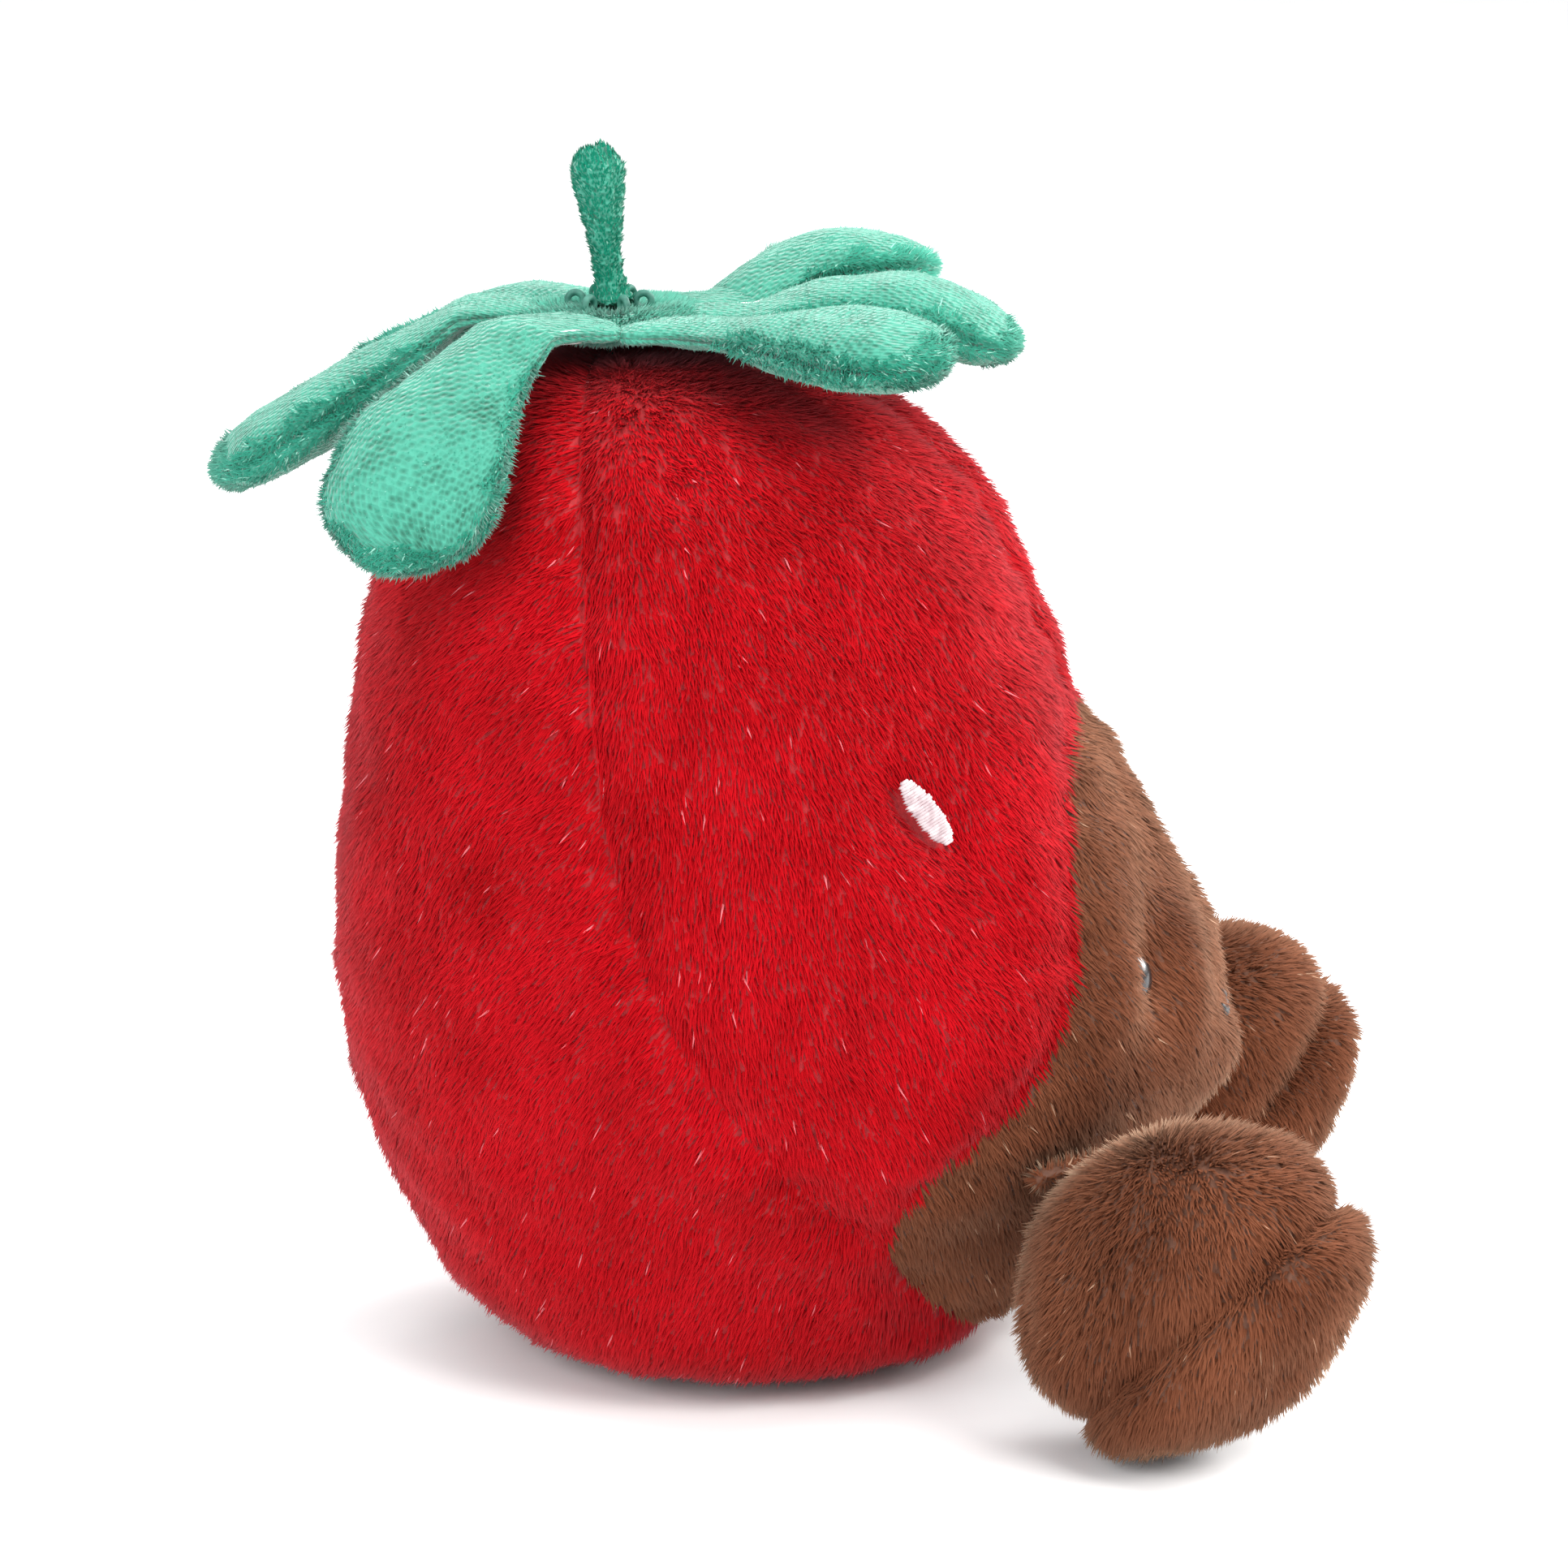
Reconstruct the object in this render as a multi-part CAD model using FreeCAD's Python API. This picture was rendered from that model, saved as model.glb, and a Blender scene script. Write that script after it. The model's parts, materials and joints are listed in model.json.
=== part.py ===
"""Stuffed strawberry toy, dipped in chocolate, with a leaf cap, a stem and two sewn-on feet.

Millimetres. +Z is up, the toy faces -Y, and its own right side is -X. The origin is the middle
of the flat seat that it rests on. Every sewn piece is a solid of its own: cloth with its pile,
stuffing, pellets, eyes with their washers, and thread.
"""
import FreeCAD
import Part
import math
import os

# ---- driving dimensions -------------------------------------------------------------------------
BODY_HEIGHT = 104.5          # seat to crown
BODY_WIDTH = 82.0            # widest, side to side
BODY_BACK = 38.9             # furthest back from the origin
BODY_FRONT = 55.4            # furthest forward of the origin
SKIN = 3.0                   # plush cloth with its pile
FIT = 0.1                    # clearance between pieces sewn or packed together
SWING_GAP = 0.4              # clearance between pieces that move past each other

POUCH_SIZE = (44.0, 40.0, 20.0)      # forward, across, up
POUCH_FLOOR = 1.6            # pouch above the inside of the seat
POUCH_FORWARD = 3.0          # middle of the pouch, forward of the origin
POUCH_CLOTH = 0.5
PELLET_RADIUS = 1.8
PELLET_LENGTH = 3.4
PELLET_GAP = 0.5

EYE_HEIGHT = 0.422           # share of the body's height
EYE_TURN = 28.0              # degrees round the body from straight ahead
EYE_RADIUS = 3.1
EYE_DOME = 2.3
EYE_SUNK = 1.1               # how far the eye's rim lies in the pile
SHANK_RADIUS = 1.1
SHANK_LENGTH = 6.4
WASHER_RADIUS = 4.2
WASHER_THICKNESS = 1.0
MOUTH_HEIGHT = 0.360
MOUTH_RADIUS = 3.4
MOUTH_THREAD = 0.6           # radius of the stitched line
MOUTH_SWEEP = 130.0
SEED_HEIGHT = 0.617
SEED_TURN = 56.0
SEED_SIZE = (3.0, 7.6, 1.8)  # across, along, thick
SEED_LEAN = 20.0

FOOT_ACROSS = 15.4           # the foot's reach from its middle: sideways,
FOOT_ALONG = 19.8            # up and down the seam round its sole,
FOOT_DEPTH = 19.6            # back from that seam towards the body,
SOLE_DEPTH = 14.0            # and forward from it
FOOT_SOLE_FACES = (0.66, 0.25, -0.70)    # forward, outward, up
FOOT_TURN = 50.0             # where it is sewn on, degrees round the body from straight ahead
FOOT_GAP = 1.4               # between the foot's pile and the body's, at the hinge
FOOT_PRESSED = 1.2           # how far the floor flattens the sole
ANKLE_RADIUS = 1.0           # rolled seam that the foot hangs on
ANKLE_LENGTH = 9.0

CAP_FORWARD = -9.5           # middle of the leaf cap
CAP_CLOTH = 1.7              # one layer of the cap's short-pile cloth
LEAF_WIDTH = 16.6
LEAF_WIDE_AT = 30.0          # from the middle of the cap
LEAF_GAP = 1.6               # between neighbouring leaves, where they are widest
LEAF_THICK = 8.0
LEAF_ROOT_WIDTH = 8.6
LEAF_ROOT_GAP = 1.0          # between the cap's middle and a leaf
LEAF_TIP_WIDTH = 9.0
LEAF_TIP_THICK = 4.6
LEAF_RELIEF = 24.0           # degrees that the root is undercut, so that a leaf can be pressed down
LEAF_SEAM = 0.24             # share of a leaf's thickness that each of its two cloths takes
LEAF_CLEAR = 1.2             # rough clearance of a leaf's underside from the body
# name: turn (from straight ahead or from straight back, in leaf pitches to the toy's right),
# whether it is a back leaf, length, share of the full width, slope at the root and at the tip
# (degrees, down is negative), and roll of its forward or right edge (degrees down)
LEAVES = {
    "leaf_front": (0.0, False, 26.6, 1.00, 18.0, -32.0, 0.0),
    "leaf_front_right": (1.0, False, 26.5, 1.00, 4.0, -4.0, 4.0),
    "leaf_front_left": (-1.0, False, 22.6, 1.00, 28.0, -24.0, -4.0),
    "leaf_back": (0.0, True, 30.0, 1.00, -38.0, -30.0, 0.0),
    "leaf_back_right": (-1.58, True, 28.5, 1.14, -28.0, -62.0, -20.0),
    "leaf_back_left": (1.16, True, 29.5, 1.00, -28.0, -42.0, 8.0),
}

STEM_LENGTH = 15.0
STEM_BASE_RADIUS = 1.6
STEM_TOP_RADIUS = 2.8
STEM_CLOTH = 0.9
STEM_LEAN = 5.7              # degrees that the stem leans back
TACK_THREAD = 0.35           # radius of the hand-sewing thread
TACK_RING = 3.4
TACK_COUNT = 6
TACK_DEPTH = 12.0            # how far the tacking thread goes into the crown
TACK_KNOT = 1.6

CLOSING_COUNT = 5
CLOSING_PITCH = 3.2
CLOSING_THREAD = 0.4
CLOSING_LENGTH = 4.4
CLOSING_START = (-0.070, 0.507)  # shares of the front and of the height, at its top end
CLOSING_SLANT = 0.36         # forward for each step down

# ---- body outline -------------------------------------------------------------------------------
# share of the height: shares of the back, front and width, and how pinched the front is (0 to 1)
STATIONS = (
    (0.000, 0.514, 0.487, 0.537, 0.30),
    (0.020, 0.617, 0.578, 0.646, 0.50),
    (0.060, 0.720, 0.670, 0.737, 0.80),
    (0.140, 0.830, 0.780, 0.810, 1.00),
    (0.230, 0.933, 0.935, 0.900, 1.00),
    (0.300, 0.977, 1.000, 0.965, 0.90),
    (0.375, 0.997, 0.974, 1.000, 0.60),
    (0.470, 1.000, 0.884, 0.995, 0.30),
    (0.565, 0.982, 0.798, 0.963, 0.12),
    (0.655, 0.951, 0.715, 0.915, 0.04),
    (0.740, 0.925, 0.643, 0.854, 0.00),
    (0.820, 0.869, 0.574, 0.771, 0.00),
    (0.890, 0.790, 0.490, 0.673, 0.00),
    (0.945, 0.700, 0.370, 0.551, 0.00),
    (0.980, 0.600, 0.235, 0.415, 0.00),
    (1.000, 0.440, 0.080, 0.232, 0.00),
)
LOFT_SECTIONS = 22
SECTION_POINTS = 28
PINCH = 0.25                 # how much a full pinch narrows the front

# seam lines as seen from the side: shares of the front's reach, and of the height
SIDE_SEAM = ((-0.190, 1.072), (-0.190, 0.957), (-0.177, 0.852), (-0.157, 0.744), (-0.114, 0.590),
             (-0.007, 0.433), (0.112, 0.335), (0.235, 0.254), (0.356, 0.188))
FACE_TOP_EDGE = ((0.903, 0.676), (0.690, 0.666), (0.662, 0.632), (0.664, 0.579), (0.672, 0.512),
                 (0.681, 0.440), (0.632, 0.364), (0.566, 0.320), (0.470, 0.276), (0.388, 0.230),
                 (0.356, 0.188))
FACE_LOW_EDGE = ((0.356, 0.188), (0.383, 0.147), (0.451, 0.090), (0.523, 0.042), (0.556, -0.029))
REACH = 150.0                # how far the cutting shapes run past the body


def vec(forward, right, up):
    """A point from its distances forward, to the toy's right, and up."""
    return FreeCAD.Vector(-right, -forward, up)


def smooth_between(stations, share):
    """Every column of a table at one share of the height, on a smooth curve through the rows."""
    last = len(stations) - 1
    i = next((k for k in range(last) if share <= stations[k + 1][0]), last - 1)
    low, high = stations[i], stations[i + 1]
    span = high[0] - low[0]
    t = min(1.0, max(0.0, (share - low[0]) / span))
    values = []
    for column in range(1, len(low)):
        def slope(k):
            before, after = stations[max(k - 1, 0)], stations[min(k + 1, last)]
            return (after[column] - before[column]) / (after[0] - before[0])
        rise, fall = slope(i) * span, slope(i + 1) * span
        values.append((2 * t**3 - 3 * t**2 + 1) * low[column] + (t**3 - 2 * t**2 + t) * rise
                      + (3 * t**2 - 2 * t**3) * high[column] + (t**3 - t**2) * fall)
    return values


def body_point(share, turn, inset=0.0):
    """A point of the body's surface, at a share of its height and a turn from straight ahead."""
    back, front, width, pinch = smooth_between(STATIONS, share)
    back = back * BODY_BACK - inset
    front = front * BODY_FRONT - inset
    half = width * BODY_WIDTH / 2 - inset
    middle, reach = (front - back) / 2, (front + back) / 2
    ahead, aside = math.cos(turn), math.sin(turn)
    if ahead > 0:
        aside -= PINCH * pinch * math.sin(2 * turn) * ahead
    up = inset + share * (BODY_HEIGHT - 2 * inset)
    return vec(middle + ahead * reach, aside * half, up)


def body_frame(share, turn, side):
    """A place on the body's surface, its outward direction and the way up along the surface.

    share is the share of the body's height, and side is 1 for the right and -1 for the left.
    """
    step = 0.004
    place = body_point(share, side * turn)
    up = body_point(share + step, side * turn) - body_point(share - step, side * turn)
    round_it = body_point(share, side * (turn + step)) - body_point(share, side * (turn - step))
    out = (round_it.cross(up) * side).normalize()
    if out.dot(place - FreeCAD.Vector(0, 0, place.z)) < 0:
        out = -out
    return place, out, up.normalize()


def closed_curve(points):
    """A smooth closed wire through points."""
    curve = Part.BSplineCurve()
    curve.interpolate(Points=points, PeriodicFlag=True)
    return Part.Wire([curve.toShape()])


def open_curve(points):
    """A smooth open edge through points."""
    curve = Part.BSplineCurve()
    curve.interpolate(Points=points)
    return curve.toShape()


def body_solid(inset):
    """The body's closed outline, taken in by inset."""
    wires = []
    for k in range(LOFT_SECTIONS):
        even = k / (LOFT_SECTIONS - 1)
        share = 0.5 - 0.5 * math.cos(math.pi * even)
        wires.append(closed_curve([body_point(share, 2 * math.pi * j / SECTION_POINTS, inset)
                                   for j in range(SECTION_POINTS)]))
    return Part.makeLoft(wires, True, False, False, 3)


def side_prism(edges, corners):
    """A block as wide as the body whose outline, seen from the side, is edges closed by corners."""
    edges = [[(f * BODY_FRONT, u * BODY_HEIGHT) for f, u in edge] for edge in edges]
    lines = [open_curve([vec(f, REACH, u) for f, u in edge]) for edge in edges]
    ends = [edges[-1][-1], *corners, edges[0][0]]
    lines += [Part.makeLine(vec(a[0], REACH, a[1]), vec(b[0], REACH, b[1]))
              for a, b in zip(ends, ends[1:])]
    face = Part.Face(Part.Wire(Part.__sortEdges__(lines)))
    return face.extrude(vec(0, -2 * REACH, 0))


def ellipsoid(reaches, centre):
    """An ellipsoid that reaches this far from its centre: forward, across and up."""
    forward, across, high = reaches
    matrix = FreeCAD.Matrix(across, 0, 0, centre.x, 0, forward, 0, centre.y,
                            0, 0, high, centre.z, 0, 0, 0, 1)
    return Part.makeSphere(1.0).transformGeometry(matrix)


def touching_point(reaches, directions, towards):
    """From its centre, the point of an ellipsoid that lies furthest towards a direction."""
    shares = [r * d.dot(towards) for r, d in zip(reaches, directions)]
    total = math.sqrt(sum(share * share for share in shares))
    point = FreeCAD.Vector(0, 0, 0)
    for share, reach, direction in zip(shares, reaches, directions):
        point += direction * (reach * share / total)
    return point


def placed(shape, origin, z_axis, x_hint):
    """A copy of shape with its own Z turned to z_axis, its X near x_hint, and moved to origin."""
    z = FreeCAD.Vector(z_axis).normalize()
    y = z.cross(x_hint).normalize()
    x = y.cross(z)
    matrix = FreeCAD.Matrix(x.x, y.x, z.x, origin.x, x.y, y.y, z.y, origin.y,
                            x.z, y.z, z.z, origin.z, 0, 0, 0, 1)
    return shape.transformed(matrix, copy=True)


def mirrored(shape):
    """The same piece on the toy's other side."""
    return shape.mirror(FreeCAD.Vector(0, 0, 0), FreeCAD.Vector(1, 0, 0))


def half_space(origin, direction):
    """A large block on the side of a plane that direction points to."""
    block = Part.makeBox(2 * REACH, 2 * REACH, REACH,
                         FreeCAD.Vector(-REACH, -REACH, 0))
    hint = vec(0, 1, 0) if abs(direction.x) < 0.9 * direction.Length else vec(1, 0, 0)
    return placed(block, origin, direction, hint)


# ---- stitched and pressed-on details ------------------------------------------------------------
def eye_parts(side):
    """An eye with its shank, and the washer that locks it inside."""
    place, out, up = body_frame(EYE_HEIGHT, math.radians(EYE_TURN), side)
    seat = place - out * EYE_SUNK
    outline = [(EYE_RADIUS, 0), (SHANK_RADIUS, 0), (SHANK_RADIUS, -SHANK_LENGTH), (0, -SHANK_LENGTH),
               (0, EYE_DOME)]
    corners = [FreeCAD.Vector(r, 0, u) for r, u in outline]
    lines = [Part.makeLine(a, b) for a, b in zip(corners, corners[1:])]
    lines.append(Part.Arc(corners[-1], FreeCAD.Vector(EYE_RADIUS * 0.74, 0, EYE_DOME * 0.72),
                          corners[0]).toShape())
    eye = Part.Face(Part.Wire(lines)).revolve(corners[-2], FreeCAD.Vector(0, 0, 1), 360)
    eye = Part.makeSolid(eye.Shells[0])
    if eye.Volume < 0:
        eye.reverse()
    low = -SHANK_LENGTH + 1.2
    washer = Part.makeCylinder(WASHER_RADIUS, WASHER_THICKNESS, FreeCAD.Vector(0, 0, low))
    washer = washer.cut(Part.makeCylinder(SHANK_RADIUS + FIT, WASHER_THICKNESS,
                                          FreeCAD.Vector(0, 0, low)))
    return placed(eye, seat, out, up), placed(washer, seat, out, up)


def seed_stitch(side):
    """A leaning patch of satin stitch, half sunk in the pile."""
    place, out, up = body_frame(SEED_HEIGHT, math.radians(SEED_TURN), side)
    pad = ellipsoid((SEED_SIZE[1] / 2, SEED_SIZE[0] / 2, SEED_SIZE[2] / 2), vec(0, 0, 0))
    pad.rotate(FreeCAD.Vector(0, 0, 0), FreeCAD.Vector(0, 0, 1), 90 + side * SEED_LEAN)
    return placed(pad, place, out, up)


def mouth_stitch():
    """A small curved line of thread on the front of the face."""
    place, out, up = body_frame(MOUTH_HEIGHT, 0.0, 1)
    centre = FreeCAD.Vector(0, 0, 0)
    ring = Part.makeTorus(MOUTH_RADIUS, MOUTH_THREAD, centre, FreeCAD.Vector(0, 0, 1),
                          -180, 180, MOUTH_SWEEP)
    ring.rotate(centre, FreeCAD.Vector(0, 0, 1), 180 - MOUTH_SWEEP / 2)
    return placed(ring, place + up * MOUTH_RADIUS / 2, out, up)


def closing_stitches():
    """Ladder stitches over the left side seam, where the toy was stuffed and closed."""
    stitches = []
    for k in range(CLOSING_COUNT):
        drop = k * CLOSING_PITCH
        share = CLOSING_START[1] - drop / BODY_HEIGHT
        forward = CLOSING_START[0] * BODY_FRONT + CLOSING_SLANT * drop
        place, out, up = body_frame(share, side_turn(share, forward), -1)
        stitch = Part.makeCylinder(CLOSING_THREAD, CLOSING_LENGTH,
                                   FreeCAD.Vector(0, 0, -CLOSING_LENGTH / 2))
        stitches.append(placed(stitch, place - out * (CLOSING_THREAD * 0.4), up.cross(out), out))
    return stitches


def side_turn(share, forward):
    """The turn from straight ahead at which the surface is that far forward, at that height."""
    low, high = 0.0, math.pi
    for _ in range(40):
        middle = (low + high) / 2
        if -body_point(share, middle).y > forward:
            low = middle
        else:
            high = middle
    return (low + high) / 2


# ---- filling ------------------------------------------------------------------------------------
def pouch_parts():
    """The inner bag and the plastic pellets that weigh the seat down."""
    centre = vec(POUCH_FORWARD, 0, SKIN + POUCH_FLOOR + POUCH_SIZE[2] / 2)
    half = [s / 2 for s in POUCH_SIZE]
    inside = [h - POUCH_CLOTH for h in half]
    outer = ellipsoid(half, centre)
    pouch = outer.cut(ellipsoid(inside, centre))
    pitch = 2 * PELLET_RADIUS + PELLET_GAP
    layer = PELLET_LENGTH + PELLET_GAP
    reach = [h - PELLET_GAP for h in inside]
    pellets = []
    steps = int(POUCH_SIZE[0] / pitch)
    for level in range(-3, 4):
        for row in range(-steps, steps + 1):
            for column in range(-steps, steps + 1):
                f = (column + 0.5 * (row % 2)) * pitch
                r = row * pitch * math.sqrt(3) / 2
                u = level * layer
                corner = ((abs(f) + PELLET_RADIUS) / reach[0], (abs(r) + PELLET_RADIUS) / reach[1],
                          (abs(u) + PELLET_LENGTH / 2) / reach[2])
                if sum(c * c for c in corner) < 1.0:
                    foot = centre + vec(f, r, u - PELLET_LENGTH / 2)
                    pellets.append(Part.makeCylinder(PELLET_RADIUS, PELLET_LENGTH, foot))
    return outer, pouch, pellets


# ---- feet ---------------------------------------------------------------------------------------
def foot_directions():
    """The foot's own directions: out of its sole, sideways, and up along the seam round its sole."""
    sole = vec(*FOOT_SOLE_FACES).normalize()
    across = FreeCAD.Vector(0, 0, 1).cross(sole).normalize()
    return sole, across, sole.cross(across)


def foot_place():
    """Where the right foot is sewn on, the way out of the body there, and the foot's middle.

    The foot stands on the floor and its pile is FOOT_GAP from the body's, so the height at which
    it is sewn on is looked for, and follows the sizes of both.
    """
    directions = foot_directions()
    floor = FreeCAD.Vector(0, 0, -1)
    standing = -touching_point((SOLE_DEPTH, FOOT_ACROSS, FOOT_ALONG), directions, floor).z
    standing -= FOOT_PRESSED
    share = standing / BODY_HEIGHT
    for _ in range(30):
        place, out, _ = body_frame(share, math.radians(FOOT_TURN), 1)
        back = touching_point((FOOT_DEPTH, FOOT_ACROSS, FOOT_ALONG), directions, -out)
        centre = place + out * FOOT_GAP - back
        share += 0.5 * (standing - centre.z) / BODY_HEIGHT
    return place + out * (FOOT_GAP / 2), out, centre


def foot_half(depth, side, centre, taken):
    """Half of the foot's outline, on one side of the seam round its sole, which is 1 or -1."""
    sole, across, along = foot_directions()
    low, high = (0, 90) if side > 0 else (-90, 0)
    half_ball = Part.makeSphere(1.0, FreeCAD.Vector(0, 0, 0), FreeCAD.Vector(0, 0, 1), low, high, 360)
    a, b, c = across * (FOOT_ACROSS - taken), along * (FOOT_ALONG - taken), sole * (depth - taken)
    return half_ball.transformGeometry(FreeCAD.Matrix(
        a.x, b.x, c.x, centre.x, a.y, b.y, c.y, centre.y, a.z, b.z, c.z, centre.z, 0, 0, 0, 1))


def foot_parts():
    """The right foot: upper and sole cloth, its stuffing, and the rolled seam it hangs on."""
    hinge, out, centre = foot_place()
    axis = FreeCAD.Vector(0, 0, 1).cross(out).normalize()
    start = hinge - axis * (ANKLE_LENGTH / 2)
    ankle = Part.makeCylinder(ANKLE_RADIUS, ANKLE_LENGTH, start, axis)
    groove = Part.makeCylinder(ANKLE_RADIUS + SWING_GAP, ANKLE_LENGTH + 2 * SWING_GAP,
                               start - axis * SWING_GAP, axis)
    above_floor = half_space(FreeCAD.Vector(0, 0, 0), FreeCAD.Vector(0, 0, 1))
    halves = {"upper": (FOOT_DEPTH, -1), "sole": (SOLE_DEPTH, 1)}
    pieces, fill = {}, []
    for name, (depth, side) in halves.items():
        fill.append(foot_half(depth, side, centre, SKIN))
        cloth = foot_half(depth, side, centre, 0.0).cut(fill[-1])
        pieces[name] = cloth.common(above_floor).cut(groove)
    pieces["stuffing"] = fill[0].fuse(fill[1]).removeSplitter()
    return pieces, ankle


# ---- leaf cap -----------------------------------------------------------------------------------
def cap_top():
    """The height of the cap's upper face."""
    return BODY_HEIGHT + FIT + 2 * CAP_CLOTH


def lens(width, upper, lower, at, across, up):
    """A wire of two arcs from edge to edge of a leaf, rising by upper and by lower."""
    left, right = at - across * (width / 2), at + across * (width / 2)
    over = Part.Arc(left, at + up * upper, right).toShape()
    under = Part.Arc(right, at + up * lower, left).toShape()
    return Part.Wire([over, under])


def leaf_pitch():
    """Degrees from one front leaf to the next, so that they clear each other where widest."""
    return 2 * math.degrees(math.asin((LEAF_WIDTH + LEAF_GAP) / 2 / LEAF_WIDE_AT))


def leaf_root():
    """How far out the hinge line of a leaf lies, so that the narrow roots clear each other."""
    return (LEAF_ROOT_WIDTH + SWING_GAP) / 2 / math.sin(math.radians(leaf_pitch() / 2))


def leaf_root_thickness():
    """A leaf's thickness at its root, which leaves it clear of the crown below."""
    return 2 * CAP_CLOTH + FIT - SWING_GAP


def body_clearance(point):
    """Roughly how far a point lies outside the body's outline at its own height."""
    share = point.z / BODY_HEIGHT
    if share >= 1.0:
        return REACH
    back, front, width, _ = smooth_between(STATIONS, share)
    middle = (front * BODY_FRONT - back * BODY_BACK) / 2
    reach = (front * BODY_FRONT + back * BODY_BACK) / 2
    half = width * BODY_WIDTH / 2
    return (math.hypot((-point.y - middle) / reach, point.x / half) - 1) * min(reach, half)


def leaf_sections(ahead, aside, length, full, root_slope, tip_slope, roll):
    """Width, thickness, place and directions of each section along a leaf's evenly bent spine."""
    up = FreeCAD.Vector(0, 0, 1)
    at = vec(CAP_FORWARD, 0, cap_top() - leaf_root_thickness() / 2) + ahead * leaf_root()
    stations = (0.0, 0.14, 0.32, 0.52, 0.72, 0.88, 1.0)
    share_of_width = (0.0, 0.18, 0.54, 0.92, 1.0, 0.70, 0.0)
    sections = []
    steps = 60
    done = 0
    for share, wide in zip(stations, share_of_width):
        while done < round(share * steps):
            slope = math.radians(root_slope + (tip_slope - root_slope) * (done + 0.5) / steps)
            at = at + (ahead * math.cos(slope) + up * math.sin(slope)) * (length / steps)
            done += 1
        slope = math.radians(root_slope + (tip_slope - root_slope) * share)
        turn_over = math.radians(roll) * math.sin(math.pi / 2 * share)
        plain_up = up * math.cos(slope) - ahead * math.sin(slope)
        across = aside * math.cos(turn_over) - plain_up * math.sin(turn_over)
        above = plain_up * math.cos(turn_over) + aside * math.sin(turn_over)
        end_width = LEAF_ROOT_WIDTH if share < 0.5 else LEAF_TIP_WIDTH
        end_thick = leaf_root_thickness() if share < 0.5 else LEAF_TIP_THICK
        width = end_width + wide * (LEAF_WIDTH * full - end_width)
        thick = end_thick + wide * (LEAF_THICK - end_thick)
        sections.append((width, thick, at, across, above))
    return sections


def underside_clearance(sections):
    """The least distance, roughly, between the body and the underside of a leaf's outer sections."""
    return min(body_clearance(at + across * (width * k / 2) - above * (thick / 2 * (1 - k * k)))
               for width, thick, at, across, above in sections[2:]
               for k in (-1.0, -0.75, -0.5, -0.25, 0.0, 0.25, 0.5, 0.75, 1.0))


def leaf_parts(pitches, is_back, length, full, root_slope, tip_slope, roll):
    """A leaf's upper cloth, lower cloth and wadding; it droops no lower than the body lets it."""
    heading = math.radians(pitches * leaf_pitch() + (180.0 if is_back else 0.0))
    ahead = vec(math.cos(heading), math.sin(heading), 0)
    aside = vec(-math.sin(heading), math.cos(heading), 0)
    up = FreeCAD.Vector(0, 0, 1)
    raised = 0.0
    sections = leaf_sections(ahead, aside, length, full, root_slope, tip_slope, roll)
    while underside_clearance(sections) < LEAF_CLEAR and raised < 60.0:
        raised += 1.0
        sections = leaf_sections(ahead, aside, length, full, root_slope + raised,
                                 tip_slope + raised, roll)

    def layer(top, bottom, taken):
        """The part of the leaf between two shares of its thickness, taken in by a clearance."""
        wires = [lens(width - 4 * taken, top * thick - taken, bottom * thick + taken,
                      place, across, above)
                 for width, thick, place, across, above in sections]
        return Part.makeLoft(wires, True, False, False, 3)

    inner = 0.5 - LEAF_SEAM
    relief = math.radians(LEAF_RELIEF)
    root = vec(CAP_FORWARD, 0, cap_top()) + ahead * (leaf_root() + 2 * FIT)
    keep = half_space(root, ahead * math.cos(relief) + up * math.sin(relief))
    return {"upper": layer(0.5, inner, 0.0).common(keep),
            "lower": layer(-inner, -0.5, 0.0).common(keep),
            "wadding": layer(inner, -inner, FIT).common(keep)}


def cap_parts():
    """The two cloth layers in the middle of the cap, and the thread that tacks it down."""
    middle = vec(CAP_FORWARD, 0, BODY_HEIGHT + FIT)
    radius = leaf_root() - LEAF_ROOT_GAP
    lower = Part.makeCylinder(radius, CAP_CLOTH, middle)
    upper = Part.makeCylinder(radius, CAP_CLOTH, middle + FreeCAD.Vector(0, 0, CAP_CLOTH))
    rim = [e for e in upper.Edges if abs(e.BoundBox.ZMax - cap_top()) < 1e-3
           and abs(e.BoundBox.ZMin - cap_top()) < 1e-3]
    upper = upper.makeFillet(CAP_CLOTH * 0.5, rim)
    tacks = []
    for k in range(TACK_COUNT):
        heading = 2 * math.pi * (k + 0.5) / TACK_COUNT
        out = FreeCAD.Vector(math.cos(heading), math.sin(heading), 0)
        place = vec(CAP_FORWARD, 0, cap_top()) + out * TACK_RING
        tacks.append(Part.makeTorus(TACK_THREAD * 2.2, TACK_THREAD, place,
                                    FreeCAD.Vector(0, 0, 1).cross(out)))
    tack_hole = Part.makeCylinder(TACK_THREAD, TACK_DEPTH + 2 * CAP_CLOTH,
                                  vec(CAP_FORWARD, 0, cap_top() - TACK_DEPTH - 2 * CAP_CLOTH))
    knot = Part.makeSphere(TACK_KNOT, vec(CAP_FORWARD, 0, cap_top() - TACK_DEPTH - 2 * CAP_CLOTH))
    return upper, lower, tacks, tack_hole.fuse(knot).removeSplitter()


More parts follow.
